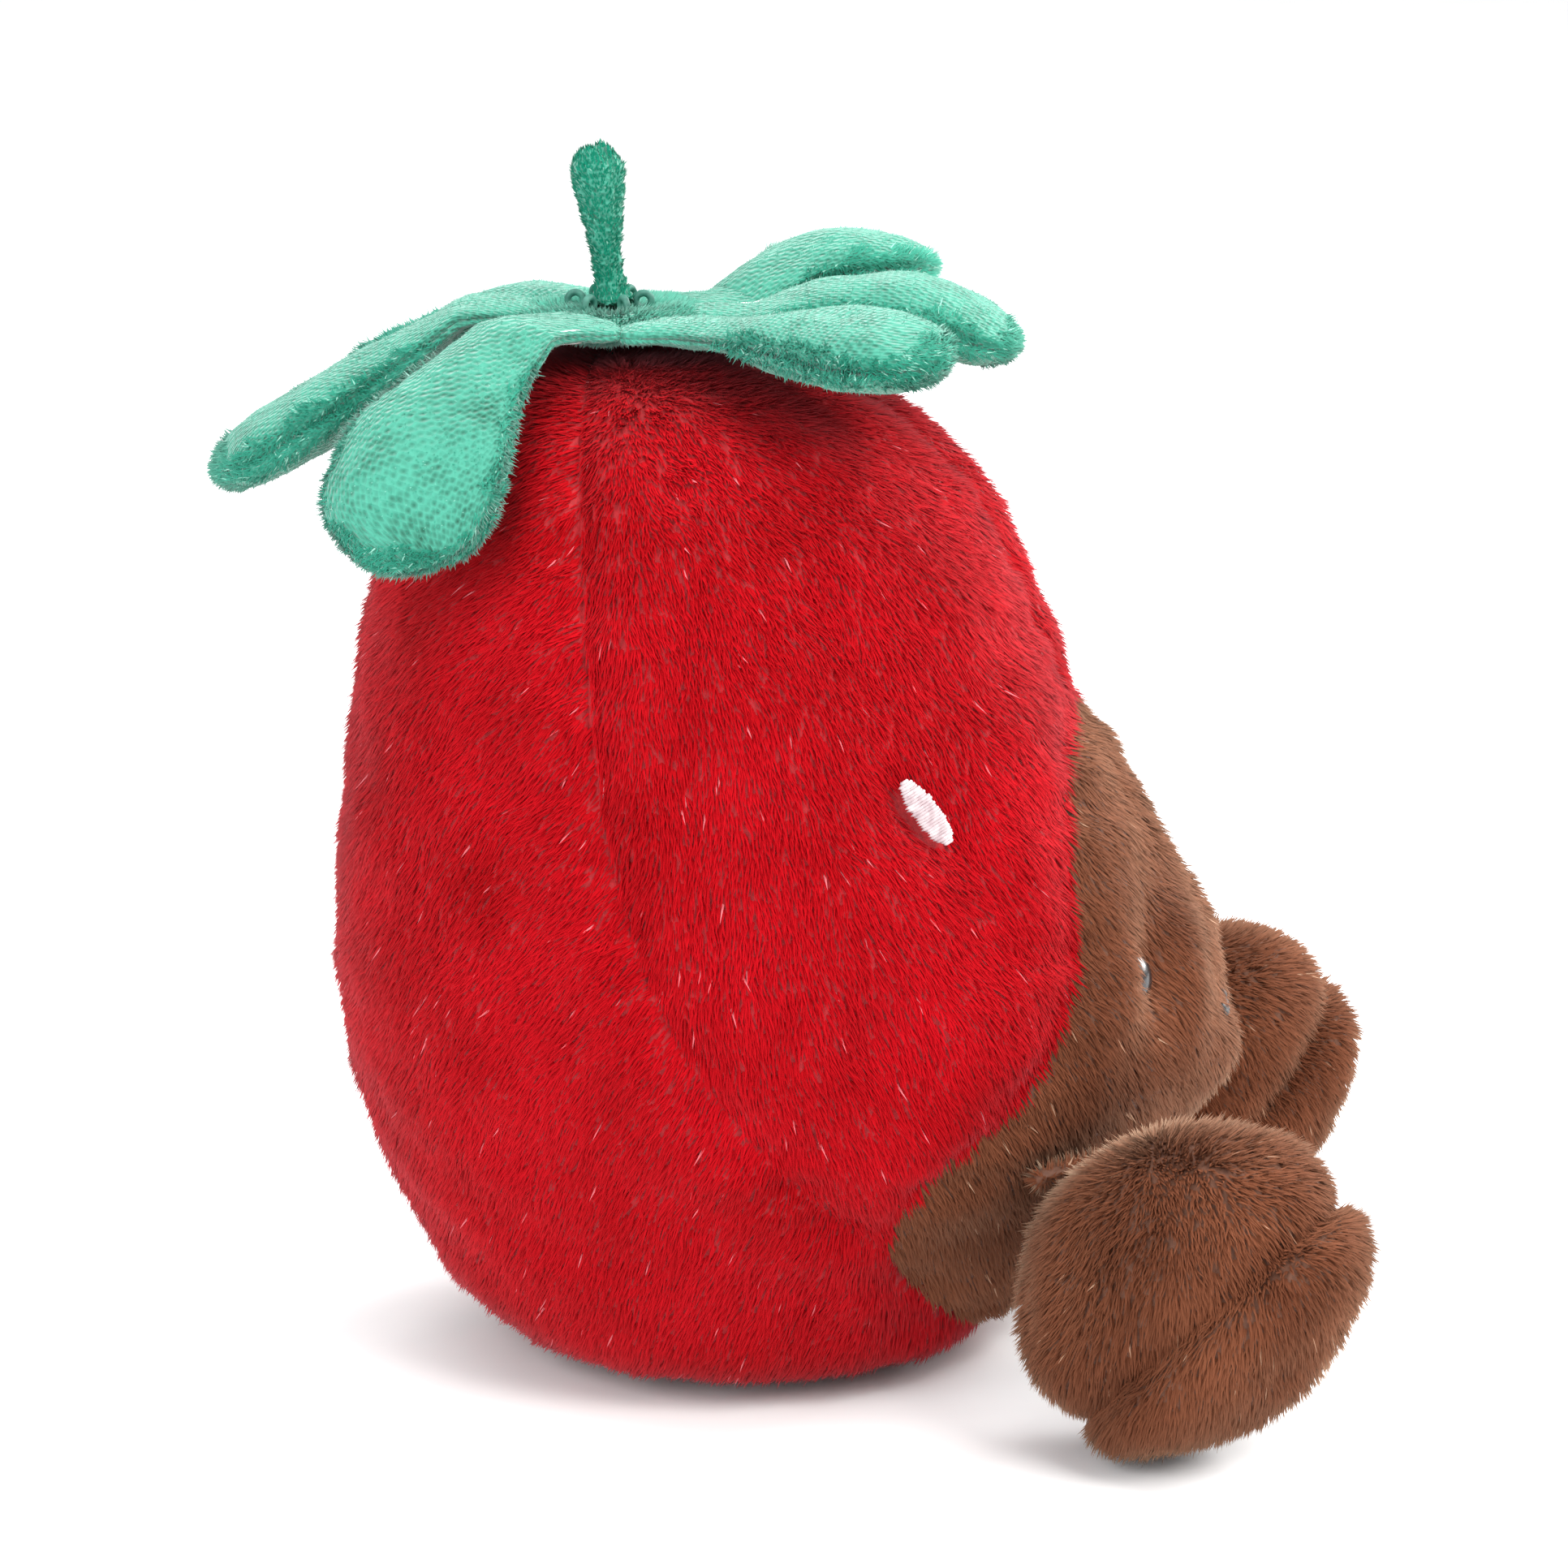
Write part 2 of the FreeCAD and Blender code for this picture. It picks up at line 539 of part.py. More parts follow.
def stem_parts():
    """The stem's cloth sleeve and its wadding, round-ended at the pivot it bends about."""
    pivot = vec(CAP_FORWARD, 0, cap_top() + SWING_GAP + STEM_BASE_RADIUS)

    def spindle(taken):
        base, top = STEM_BASE_RADIUS - taken, STEM_TOP_RADIUS - taken
        length = STEM_LENGTH - STEM_BASE_RADIUS - taken
        low = FreeCAD.Vector(0, 0, -base)
        side = FreeCAD.Vector(base, 0, 0)
        shoulder = FreeCAD.Vector(top, 0, length - top)
        tip = FreeCAD.Vector(0, 0, length)
        bend = math.sqrt(0.5)
        foot = Part.Arc(low, FreeCAD.Vector(base * bend, 0, -base * bend), side).toShape()
        flare = open_curve([side, FreeCAD.Vector(base * 1.02, 0, length * 0.3),
                            FreeCAD.Vector((base + top) / 2, 0, length * 0.58), shoulder])
        crown = Part.Arc(shoulder, FreeCAD.Vector(top * bend, 0, length - top * (1 - bend)),
                         tip).toShape()
        outline = Part.Wire([foot, flare, crown, Part.makeLine(tip, low)])
        solid = Part.Face(outline).revolve(FreeCAD.Vector(0, 0, 0), FreeCAD.Vector(0, 0, 1), 360)
        solid.rotate(FreeCAD.Vector(0, 0, 0), vec(0, 1, 0), STEM_LEAN)
        solid.translate(pivot)
        return solid

    outside, inside = spindle(0.0), spindle(STEM_CLOTH)
    return outside.cut(inside), inside


# ---- the whole toy ------------------------------------------------------------------------------
def build():
    """Every piece by name."""
    outside, inside = body_solid(0.0), body_solid(SKIN)
    skin = outside.cut(inside)
    eyes = {"right": eye_parts(1), "left": eye_parts(-1)}
    seeds = {"right": seed_stitch(1), "left": seed_stitch(-1)}
    mouth = mouth_stitch()
    ladder = closing_stitches()
    upper_cap, lower_cap, tacks, tack_thread = cap_parts()
    foot, right_ankle = foot_parts()
    ankles = {"right": right_ankle, "left": mirrored(right_ankle)}
    pouch_outside, pouch, pellets = pouch_parts()

    ankle_pockets = [ankles["right"], ankles["left"]]
    pockets = [mouth, tack_thread, *ladder, *ankle_pockets, *seeds.values()]
    pockets += [eye for eye, _ in eyes.values()]
    for pocket in pockets:
        skin = skin.cut(pocket)

    bottom = FACE_LOW_EDGE[-1][1] * BODY_HEIGHT
    face_block = side_prism([FACE_TOP_EDGE, FACE_LOW_EDGE],
                            [(REACH, bottom), (REACH, FACE_TOP_EDGE[0][1] * BODY_HEIGHT)])
    back_block = side_prism([SIDE_SEAM, FACE_LOW_EDGE],
                            [(-REACH, bottom), (-REACH, SIDE_SEAM[0][1] * BODY_HEIGHT)])
    sides = skin.cut(face_block).cut(back_block)
    right_half = half_space(FreeCAD.Vector(0, 0, 0), vec(0, 1, 0))
    shapes = {
        "back_panel": skin.common(back_block),
        "face_panel": skin.common(face_block),
        "right_side_panel": sides.common(right_half),
        "left_side_panel": sides.cut(right_half),
    }

    stuffing = inside.cut(pouch_outside).cut(tack_thread)
    for side in ("right", "left"):
        eye, washer = eyes[side]
        shapes[f"{side}_eye"] = eye
        shapes[f"{side}_eye_washer"] = washer
        shapes[f"{side}_seed_stitch"] = seeds[side]
        shapes[f"{side}_ankle_seam"] = ankles[side]
        stuffing = stuffing.cut(eye).cut(washer).cut(seeds[side])
        for name, piece in foot.items():
            shapes[f"{side}_foot_{name}"] = piece if side == "right" else mirrored(piece)
    for pocket in (mouth, *ankle_pockets):
        stuffing = stuffing.cut(pocket)
    shapes["body_stuffing"] = stuffing
    shapes["pellet_pouch"] = pouch
    shapes["weight_pellets"] = Part.makeCompound(pellets)
    shapes["closing_stitches"] = Part.makeCompound(ladder)
    shapes["mouth_stitch"] = mouth

    for tack in tacks:
        upper_cap = upper_cap.cut(tack)
    shapes["cap_centre_upper"] = upper_cap.cut(tack_thread)
    shapes["cap_centre_lower"] = lower_cap.cut(tack_thread)
    shapes["cap_tack_stitches"] = Part.makeCompound(tacks)
    shapes["cap_tack_thread"] = tack_thread
    shapes["stem_sleeve"], shapes["stem_wadding"] = stem_parts()
    for name, values in LEAVES.items():
        for layer, piece in leaf_parts(*values).items():
            shapes[f"{name}_{layer}"] = piece
    return shapes


def main():
    """Writes one STEP file for each piece."""
    os.makedirs("parts", exist_ok=True)
    for name, shape in build().items():
        solids = [s for s in shape.Solids if s.Volume > 0]
        kept = solids[0] if len(solids) == 1 else Part.makeCompound(solids)
        kept.exportStep(os.path.join("parts", name + ".step"))
        box = kept.BoundBox
        print(f"{name:24s} solids {len(solids):3d} valid {kept.isValid()} volume {kept.Volume:9.1f} "
              f"x {box.XMin:6.1f} {box.XMax:6.1f} y {box.YMin:6.1f} {box.YMax:6.1f} "
              f"z {box.ZMin:6.1f} {box.ZMax:6.1f}")


main()
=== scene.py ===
"""Stuffed strawberry toy with a dipped face, dressed in brushed pile, a leaf cap, a stem and two feet.

Shapes are worked out in millimetres as numpy grids and put into meshes in metres. +Z is up, the toy
faces -Y and its own right side is -X.
"""

import json
import logging
import math
from collections.abc import Callable
from dataclasses import dataclass, field
from enum import Enum

import bmesh
import bpy
import numpy as np
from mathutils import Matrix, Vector


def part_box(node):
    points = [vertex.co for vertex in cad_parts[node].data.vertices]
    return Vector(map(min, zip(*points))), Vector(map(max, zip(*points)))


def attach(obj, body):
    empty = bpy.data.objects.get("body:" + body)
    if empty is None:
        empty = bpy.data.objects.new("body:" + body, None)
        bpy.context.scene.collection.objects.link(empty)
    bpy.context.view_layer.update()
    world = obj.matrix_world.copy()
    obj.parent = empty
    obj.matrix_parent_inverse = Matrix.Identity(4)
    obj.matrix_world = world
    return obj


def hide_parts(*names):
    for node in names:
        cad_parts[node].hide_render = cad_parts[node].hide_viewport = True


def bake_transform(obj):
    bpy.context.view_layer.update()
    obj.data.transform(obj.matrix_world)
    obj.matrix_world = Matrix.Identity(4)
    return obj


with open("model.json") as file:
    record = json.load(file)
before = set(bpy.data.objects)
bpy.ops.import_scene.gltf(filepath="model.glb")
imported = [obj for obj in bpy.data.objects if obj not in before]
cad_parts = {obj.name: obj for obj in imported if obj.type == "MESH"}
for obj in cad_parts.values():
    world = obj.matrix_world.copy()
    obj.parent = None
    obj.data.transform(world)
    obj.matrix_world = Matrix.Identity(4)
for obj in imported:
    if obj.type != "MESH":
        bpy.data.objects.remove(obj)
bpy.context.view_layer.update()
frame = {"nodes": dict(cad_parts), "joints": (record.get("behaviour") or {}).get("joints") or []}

MM = 0.001
log = logging.getLogger("strawberry")
Grid = np.ndarray


class Side(Enum):
    """One of the toy's own sides, with the sign of its distance to the right."""

    RIGHT = 1
    LEFT = -1

    @property
    def word(self) -> str:
        """The side's name as it stands in the names of pieces."""
        return self.name.lower()


# ---- numbers on curves and surfaces -------------------------------------------------------------
def axes(forward: Grid, right: Grid, up: Grid) -> Grid:
    """Points from their distances forward, to the toy's right, and up.

    Args:
        forward: Distances forward.
        right: Distances to the toy's right.
        up: Heights.

    Returns:
        The points, with x against the right and y against forward.
    """
    forward, right, up = np.broadcast_arrays(forward, right, up)
    return np.stack([-right, -forward, up], -1).astype(float)


def unit(vectors: Grid) -> Grid:
    """Vectors divided by their lengths.

    Args:
        vectors: Any array whose last axis has three numbers.

    Returns:
        The same directions with a length of one.
    """
    return vectors / np.maximum(np.linalg.norm(vectors, axis=-1, keepdims=True), 1e-9)


def smooth_rows(table: Grid, at: Grid) -> Grid:
    """Reads a table between its rows: a cubic with each row's slope taken from its two neighbours.

    Args:
        table: Rows of a position and then its values.
        at: Positions to read at.

    Returns:
        One row of values for each position.
    """
    where, values = table[:, 0], table[:, 1:]
    at = np.clip(np.asarray(at, float), where[0], where[-1])
    k = np.clip(np.searchsorted(where, at, side="left") - 1, 0, len(where) - 2)
    before, after = np.maximum(np.arange(len(where)) - 1, 0), np.minimum(
        np.arange(len(where)) + 1, len(where) - 1)
    slope = (values[after] - values[before]) / (where[after] - where[before])[:, None]
    span = (where[k + 1] - where[k])[..., None]
    t = (at - where[k])[..., None] / span
    return ((2 * t**3 - 3 * t**2 + 1) * values[k] + (t**3 - 2 * t**2 + t) * slope[k] * span
            + (3 * t**2 - 2 * t**3) * values[k + 1] + (t**3 - t**2) * slope[k + 1] * span)


def ripple(points: Grid, wavelength: float, seed: int) -> Grid:
    """A smooth uneven field: the mean of nine plane waves in random directions near one wavelength.

    Args:
        points: Where to read it.
        wavelength: Typical distance from crest to crest.
        seed: Picks the waves.

    Returns:
        Numbers from about -1 to 1.
    """
    rng = np.random.default_rng(seed)
    waves = unit(rng.normal(size=(9, 3))) * (2 * np.pi / wavelength) * rng.uniform(0.7, 1.4, (9, 1))
    phase = rng.uniform(0, 2 * np.pi, 9)
    return np.sin(points @ waves.T + phase).mean(-1) * 2.0


def line_distance(points: Grid, line: Grid) -> Grid:
    """The distance from flat points to a broken line: the least over its runs.

    Args:
        points: Pairs of numbers.
        line: The line's corners, as pairs.

    Returns:
        A distance for each point.
    """
    a, run = line[:-1], np.diff(line, axis=0)
    offset = points[..., None, :] - a
    along = np.clip((offset * run).sum(-1) / (run * run).sum(-1), 0, 1)
    return np.linalg.norm(offset - along[..., None] * run, axis=-1).min(-1)


def inside(points: Grid, outline: Grid) -> Grid:
    """Whether flat points lie in an outline: a ray to one side crosses it an odd number of times.

    Args:
        points: Pairs of numbers.
        outline: The outline's corners, in order.

    Returns:
        A truth value for each point.
    """
    a, b = outline, np.roll(outline, -1, axis=0)
    x, y = points[..., 0, None], points[..., 1, None]
    spans = (a[:, 1] > y) != (b[:, 1] > y)
    rise = np.where(b[:, 1] == a[:, 1], 1e-9, b[:, 1] - a[:, 1])
    return ((spans & (x < (b[:, 0] - a[:, 0]) * (y - a[:, 1]) / rise + a[:, 0])).sum(-1) % 2) == 1


def bell(distance: Grid, width: float) -> Grid:
    """A smooth bump that is one at no distance and falls away within a width.

    Args:
        distance: Distances.
        width: Distance at which it has fallen to about a third.

    Returns:
        The bump's height.
    """
    return np.exp(-(distance / width) ** 2)


@dataclass
class Surface:
    """A closed surface on a grid: rows from pole to pole, and columns that go once round."""

    points: Grid
    weave: Grid

    def normals(self) -> Grid:
        """Outward directions: the cross product of the two grid directions, turned outwards.

        Returns:
            A unit vector for each grid point.
        """
        down = np.gradient(self.points, axis=0)
        round_it = np.roll(self.points, -1, axis=1) - np.roll(self.points, 1, axis=1)
        out = np.cross(round_it, down)
        out[0], out[-1] = out[1].mean(0), out[-2].mean(0)
        out = unit(out)
        if ((self.points - self.points.mean((0, 1))) * out).sum(-1).mean() < 0:
            out = -out
        return out

    def quads(self) -> Grid:
        """Corner numbers of the grid's faces.

        Returns:
            An array of four corners each, wound so that they face outwards.
        """
        rows, columns = self.points.shape[:2]
        n = np.arange(rows * columns).reshape(rows, columns)
        right = np.roll(n, -1, axis=1)
        quads = np.stack([n[:-1], right[:-1], right[1:], n[1:]], -1).reshape(-1, 4)
        flat = self.points.reshape(-1, 3)
        face = np.cross(flat[quads[:, 2]] - flat[quads[:, 0]], flat[quads[:, 3]] - flat[quads[:, 1]])
        if (face * self.normals().reshape(-1, 3)[quads[:, 0]]).sum() < 0:
            quads = quads[:, ::-1]
        return quads

    def pushed(self, amount: Grid) -> "Surface":
        """The surface moved outwards by an amount at each point."""
        return Surface(self.points + self.normals() * amount[..., None], self.weave)


def put_mesh(name: str, points: Grid, polygons: list[Grid], finishes: list[bpy.types.Material],
             choice: Grid | None = None, smooth: bool = True, weave: Grid | None = None,
             weld: bool = False) -> bpy.types.Object:
    """Makes an object from arrays, with its place in its mesh.

    Args:
        name: The object's name.
        points: Corners in millimetres.
        polygons: Arrays of corner numbers, each with one count of corners.
        finishes: The object's materials.
        choice: Which material each polygon takes.
        smooth: Whether shading is smooth.
        weave: Cloth coordinates for each corner, kept as an attribute.
        weld: Whether coincident corners are merged.

    Returns:
        The new object, in the scene.
    """
    mesh = bpy.data.meshes.new(name)
    sizes = np.concatenate([np.full(len(p), p.shape[1]) for p in polygons])
    loops = np.concatenate([p.ravel() for p in polygons]).astype(np.int32)
    mesh.vertices.add(len(points))
    mesh.vertices.foreach_set("co", (np.asarray(points, float) * MM).ravel())
    mesh.loops.add(len(loops))
    mesh.loops.foreach_set("vertex_index", loops)
    mesh.polygons.add(len(sizes))
    starts = np.concatenate([[0], np.cumsum(sizes)[:-1]])
    mesh.polygons.foreach_set("loop_start", starts.astype(np.int32))
    for finish in finishes:
        mesh.materials.append(finish)
    if choice is not None:
        mesh.polygons.foreach_set("material_index", choice.astype(np.int32))
    mesh.polygons.foreach_set("use_smooth", np.full(len(sizes), smooth))
    mesh.update(calc_edges=True)
    if weave is not None:
        mesh.attributes.new("weave", "FLOAT_VECTOR", "POINT").data.foreach_set(
            "vector", weave.astype(np.float32).ravel())
    mesh.validate()
    piece = bpy.data.objects.new(name, mesh)
    bpy.context.scene.collection.objects.link(piece)
    if weld:
        work = bmesh.new()
        work.from_mesh(mesh)
        bmesh.ops.remove_doubles(work, verts=work.verts, dist=1e-7)
        work.to_mesh(mesh)
        work.free()
    return piece


def seat(piece: bpy.types.Object, body: str, node: str = "") -> None:
    """Hangs a piece on its body's empty and hides the drawn node that it stands for.

    Args:
        piece: The piece.
        body: The body that it rides on.
        node: The drawn node that it stands for, if it stands for one.
    """
    if node:
        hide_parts(node)
    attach(piece, body)


def closed_shell(points: Grid, normals: Grid, quads: Grid, thickness: float) -> tuple[Grid, Grid]:
    """Gives some faces of a surface a thickness: the faces, a copy moved inwards and turned, and rims.

    Args:
        points: The surface's corners.
        normals: Outward directions at the corners.
        quads: The faces to use.
        thickness: How far the inner copy lies inwards.

    Returns:
        Corners and faces of a closed shell.
    """
    used, compact = np.unique(quads, return_inverse=True)
    compact = compact.reshape(quads.shape)
    outer = points[used]
    inner = outer - normals[used] * thickness
    n = len(used)
    a, b = compact.ravel(), np.roll(compact, -1, axis=1).ravel()
    lone = ~np.isin(a * n + b, b * n + a) & (np.linalg.norm(outer[a] - outer[b], axis=1) > 1e-6)
    rim = np.stack([b[lone], a[lone], a[lone] + n, b[lone] + n], -1)
    return np.concatenate([outer, inner]), np.concatenate([compact, compact[:, ::-1] + n, rim])


def put_cloth(name: str, surface: Surface, chosen: Grid, thickness: float,
              finish: bpy.types.Material) -> bpy.types.Object:
    """Makes a closed piece of cloth from some faces of a surface.

    Args:
        name: The piece's name.
        surface: The surface.
        chosen: Which of its faces to use.
        thickness: The cloth's thickness.
        finish: Its material.

    Returns:
        The piece, with cloth coordinates on both of its sides.
    """
    quads = surface.quads()[chosen]
    flat, weave = surface.points.reshape(-1, 3), surface.weave.reshape(-1, 3)
    corners, faces = closed_shell(flat, surface.normals().reshape(-1, 3), quads, thickness)
    return put_mesh(name, corners, [faces], [finish], weave=np.tile(weave[np.unique(quads)], (2, 1)),
                    weld=True)


def spread(coarse: Grid, rows: int, columns: int) -> Grid:
    """Reads a coarse grid of vectors on a finer one: straight lines between rows and round columns.

    Args:
        coarse: A grid whose columns go once round.
        rows: Rows wanted.
        columns: Columns wanted.

    Returns:
        The finer grid.
    """
    looped = np.concatenate([coarse, coarse[:, :1]], axis=1)
    r = np.linspace(0, coarse.shape[0] - 1, rows)
    c = np.arange(columns) * coarse.shape[1] / columns
    r0, c0 = np.minimum(r.astype(int), coarse.shape[0] - 2), c.astype(int)
    fr, fc = (r - r0)[:, None, None], (c - c0)[None, :, None]
    top = looped[r0][:, c0] * (1 - fc) + looped[r0][:, c0 + 1] * fc
    low = looped[r0 + 1][:, c0] * (1 - fc) + looped[r0 + 1][:, c0 + 1] * fc
    return top * (1 - fr) + low * fr


@dataclass
class Stuffing:
    """Cloth blown out by its filling, worked out by a cloth simulation at ten times the size."""

    pressure: float = 4.0
    most: float = 1.2
    steps: int = 14
    scale: float = 10.0

    def fill_out(self, surface: Surface, held: Grid) -> Grid:
        """Runs the simulation and gives how far each grid point moves.

        Args:
            surface: The closed cloth.
            held: How firmly each grid point is held by a seam, from 0 to 1.

        Returns:
            Movements in millimetres, none longer than the cap.
        """
        shape = surface.points.shape
        flat = surface.points.reshape(-1, 3)
        _, first, same = np.unique(np.round(flat, 4), axis=0, return_index=True, return_inverse=True)
        same = same.reshape(-1)
        quads = same[surface.quads()]
        start = flat[first]
        cloth = put_mesh("filling_out", start * self.scale, [quads], [])
        group = cloth.vertex_groups.new(name="held")
        firm = held.reshape(-1)[first]
        for level in range(1, 11):
            chosen = np.nonzero(np.ceil(firm * 10) == level)[0]
            if len(chosen):
                group.add(chosen.tolist(), level / 10, "REPLACE")
        modifier = cloth.modifiers.new("filling", "CLOTH")
        settings = modifier.settings
        settings.quality = 5
        settings.mass = 0.3
        settings.vertex_group_mass = "held"
        settings.use_pressure = True
        settings.uniform_pressure_force = self.pressure
        settings.effector_weights.gravity = 0.0
        settings.bending_stiffness = 0.5
        modifier.point_cache.frame_start = 1
        modifier.point_cache.frame_end = self.steps
        for step in range(1, self.steps + 1):
            bpy.context.scene.frame_set(step)
        shown = cloth.evaluated_get(bpy.context.evaluated_depsgraph_get())
        after = np.empty(len(start) * 3, np.float32)
        shown.data.vertices.foreach_get("co", after)
        after = after.reshape(-1, 3) / (MM * self.scale)
        mesh = cloth.data
        bpy.data.objects.remove(cloth)
        bpy.data.meshes.remove(mesh)
        bpy.context.scene.frame_set(1)
        moved = after - start
        far = np.linalg.norm(moved, axis=1, keepdims=True)
        moved *= np.minimum(1.0, self.most / np.maximum(far, 1e-9))
        log.info("filled out cloth of %d points: moved %.2f mm at most", len(start), far.max())
        return moved[same].reshape(shape)


@dataclass
class Tufts:
    """Tufts of pile: four corners each, a tone from 0 to 1 or 2 for a painted glint, and the cloth's way
    out.
    """

    corners: Grid
    tone: Grid
    out: Grid

    def chosen(self, keep: Grid) -> "Tufts":
        """Only the tufts that are marked."""
        return Tufts(self.corners[keep], self.tone[keep], self.out[keep])

    @property
    def roots(self) -> Grid:
        """The middle of each tuft's foot."""
        return self.corners[:, :3].mean(1)


@dataclass
class Pile:
    """Brushed pile: short pointed tufts that stand on cloth and lean the way they were combed."""

    length: float
    foot: float
    per_mm2: float
    lie: float
    seed: int
    unruly: float = 0.09
    clump: float = 0.11
    mottle: float = 0.06
    # Share of tufts that take the glint shade, a painted highlight.
    glints: float = 0.003

    def grow(self, points: Grid, normals: Grid, quads: Grid, comb: Callable[[Grid, Grid], Grid],
             height: Callable[[Grid], Grid] | None = None) -> Tufts:
        """Scatters tufts evenly by area and gives each a direction.

        A tuft points along its cloth's outward direction and the comb's direction, mixed by how far
        the pile lies down, and turned a little by two uneven fields and by chance.

        Args:
            points: The cloth's corners.
            normals: Outward directions at the corners.
            quads: The cloth's faces.
            comb: Gives the combed direction from places and outward directions.
            height: Share of the full length, by place.

        Returns:
            The tufts.
        """
        rng = np.random.default_rng(self.seed)
        a, b, c, d = (points[quads[:, k]] for k in range(4))
        area = 0.5 * np.linalg.norm(np.cross(c - a, d - b), axis=1)
        total = np.cumsum(area)
        count = int(total[-1] * self.per_mm2)
        which = np.searchsorted(total, rng.uniform(0, total[-1], count))
        u, v = rng.uniform(size=(2, count, 1))
        weights = ((1 - u) * (1 - v), u * (1 - v), u * v, (1 - u) * v)
        place = sum(w * points[quads[which, k]] for k, w in enumerate(weights))
        out = unit(sum(w * normals[quads[which, k]] for k, w in enumerate(weights)))
        combed = comb(place, out)
        combed = unit(combed - out * (combed * out).sum(1, keepdims=True))
        swirl = np.stack([ripple(place, 7.0, self.seed + k) + 0.6 * ripple(place, 2.2, self.seed + 3 + k)
                          for k in range(3)], -1)
        way = unit(out * (1 - self.lie) + combed * self.lie + swirl * self.clump
                   + rng.normal(size=(count, 3)) * self.unruly)
        way = unit(way + out * np.maximum(0, 0.25 - (way * out).sum(1, keepdims=True)))
        tall = self.length * rng.uniform(0.72, 1.12, count)
        if height is not None:
            tall = tall * height(place)
        across = unit(np.cross(out, rng.normal(size=(count, 3))))
        along = np.cross(out, across)
        turn = np.array([0, 2 * np.pi / 3, 4 * np.pi / 3])
        ring = np.cos(turn)[:, None] * across[:, None] + np.sin(turn)[:, None] * along[:, None]
        feet = place[:, None] - out[:, None] * 0.12 + ring * self.foot
        tips = place + way * tall[:, None]
        corners = np.concatenate([feet, tips[:, None]], axis=1)
        corners[..., 2] = np.maximum(corners[..., 2], 0.12)
        tone = 0.5 + 0.16 * ripple(place, 14.0, self.seed + 9) + rng.normal(size=count) * self.mottle
        # A few tufts, chosen at random, are marked 2 for the glint shade: painted highlights on the pile.
        tone = np.where(rng.uniform(size=count) < self.glints, 2.0, np.clip(tone, 0, 1))
        kept = tall > 0.15 * self.length
        return Tufts(corners[kept], tone[kept], out[kept])


def put_pile(name: str, tufts: Tufts, shades: list[bpy.types.Material]) -> bpy.types.Object:
    """Puts tufts into one object, each as four small faces in the shade nearest to its tone.

    Args:
        name: The object's name.
        tufts: The tufts.
        shades: Materials from dark to light, and the painted glint's last.

    Returns:
        The object.
    """
    n = len(tufts.tone)
    faces = np.array([[0, 2, 1], [0, 1, 3], [1, 2, 3], [2, 0, 3]])
    triangles = (np.arange(n)[:, None, None] * 4 + faces).reshape(-1, 3)
    plain = len(shades) - 1
    shade = np.where(tufts.tone > 1, plain, np.minimum((tufts.tone * plain).astype(int), plain - 1))
    piece = put_mesh(name, tufts.corners.reshape(-1, 3), [triangles], shades, np.repeat(shade, 4))
    middle = tufts.corners[:, :3].mean(1, keepdims=True)
    middle = np.concatenate([np.repeat(middle, 3, 1), tufts.corners[:, 3:] - tufts.out[:, None]], 1)
    facing = unit(unit(tufts.corners - middle) * 0.30 + tufts.out[:, None])
    piece.data.attributes.new("custom_normal", "FLOAT_VECTOR", "POINT").data.foreach_set(
        "vector", facing.astype(np.float32).ravel())
    return piece


# ---- finishes -----------------------------------------------------------------------------------
def new_finish(name: str) -> tuple[bpy.types.Material, bpy.types.Node]:
    """A material with nodes.

    Args:
        name: the material's name.

    Returns:
        The material and its shader node.
    """
    finish = bpy.data.materials.new(name)
    finish.use_nodes = True
    return finish, finish.node_tree.nodes["Principled BSDF"]


def joined(finish: bpy.types.Material, start: bpy.types.NodeSocket, end: bpy.types.NodeSocket) -> None:
    """Links two sockets of a material."""
    finish.node_tree.links.new(start, end)


def set_inputs(node: bpy.types.Node, values: dict[str | int, float | tuple[float, ...]]) -> None:
    """Sets a node's own sockets."""
    for socket, value in values.items():
        node.inputs[socket].default_value = value


def coloured(finish: bpy.types.Material, tone: bpy.types.NodeSocket, ends: tuple[float, float],
             dark: tuple[float, float, float], light: tuple[float, float, float]) -> None:
    """Colours a material from dark to light by a tone.

    Args:
        finish: The material.
        tone: The tone.
        ends: Tones at which the dark and the light colour are reached.
        dark: The dark colour.
        light: The light colour.
    """
    ramp = finish.node_tree.nodes.new("ShaderNodeValToRGB")
    for element, end, colour in zip(ramp.color_ramp.elements, ends, (dark, light)):
        element.position = end
        element.color = (*colour, 1)
    joined(finish, tone, ramp.inputs["Fac"])
    joined(finish, ramp.outputs["Color"], finish.node_tree.nodes["Principled BSDF"].inputs["Base Color"])


def bumped(finish: bpy.types.Material, height: bpy.types.NodeSocket, strength: float,
           distance: float) -> None:
    """Gives a material small bumps.

    Args:
        finish: The material.
        height: The bumps' height.
        strength: How strongly they show.
        distance: Their full height in metres.
    """
    bump = finish.node_tree.nodes.new("ShaderNodeBump")
    set_inputs(bump, {"Strength": strength, "Distance": distance})
    joined(finish, height, bump.inputs["Height"])
    joined(finish, bump.outputs["Normal"], finish.node_tree.nodes["Principled BSDF"].inputs["Normal"])


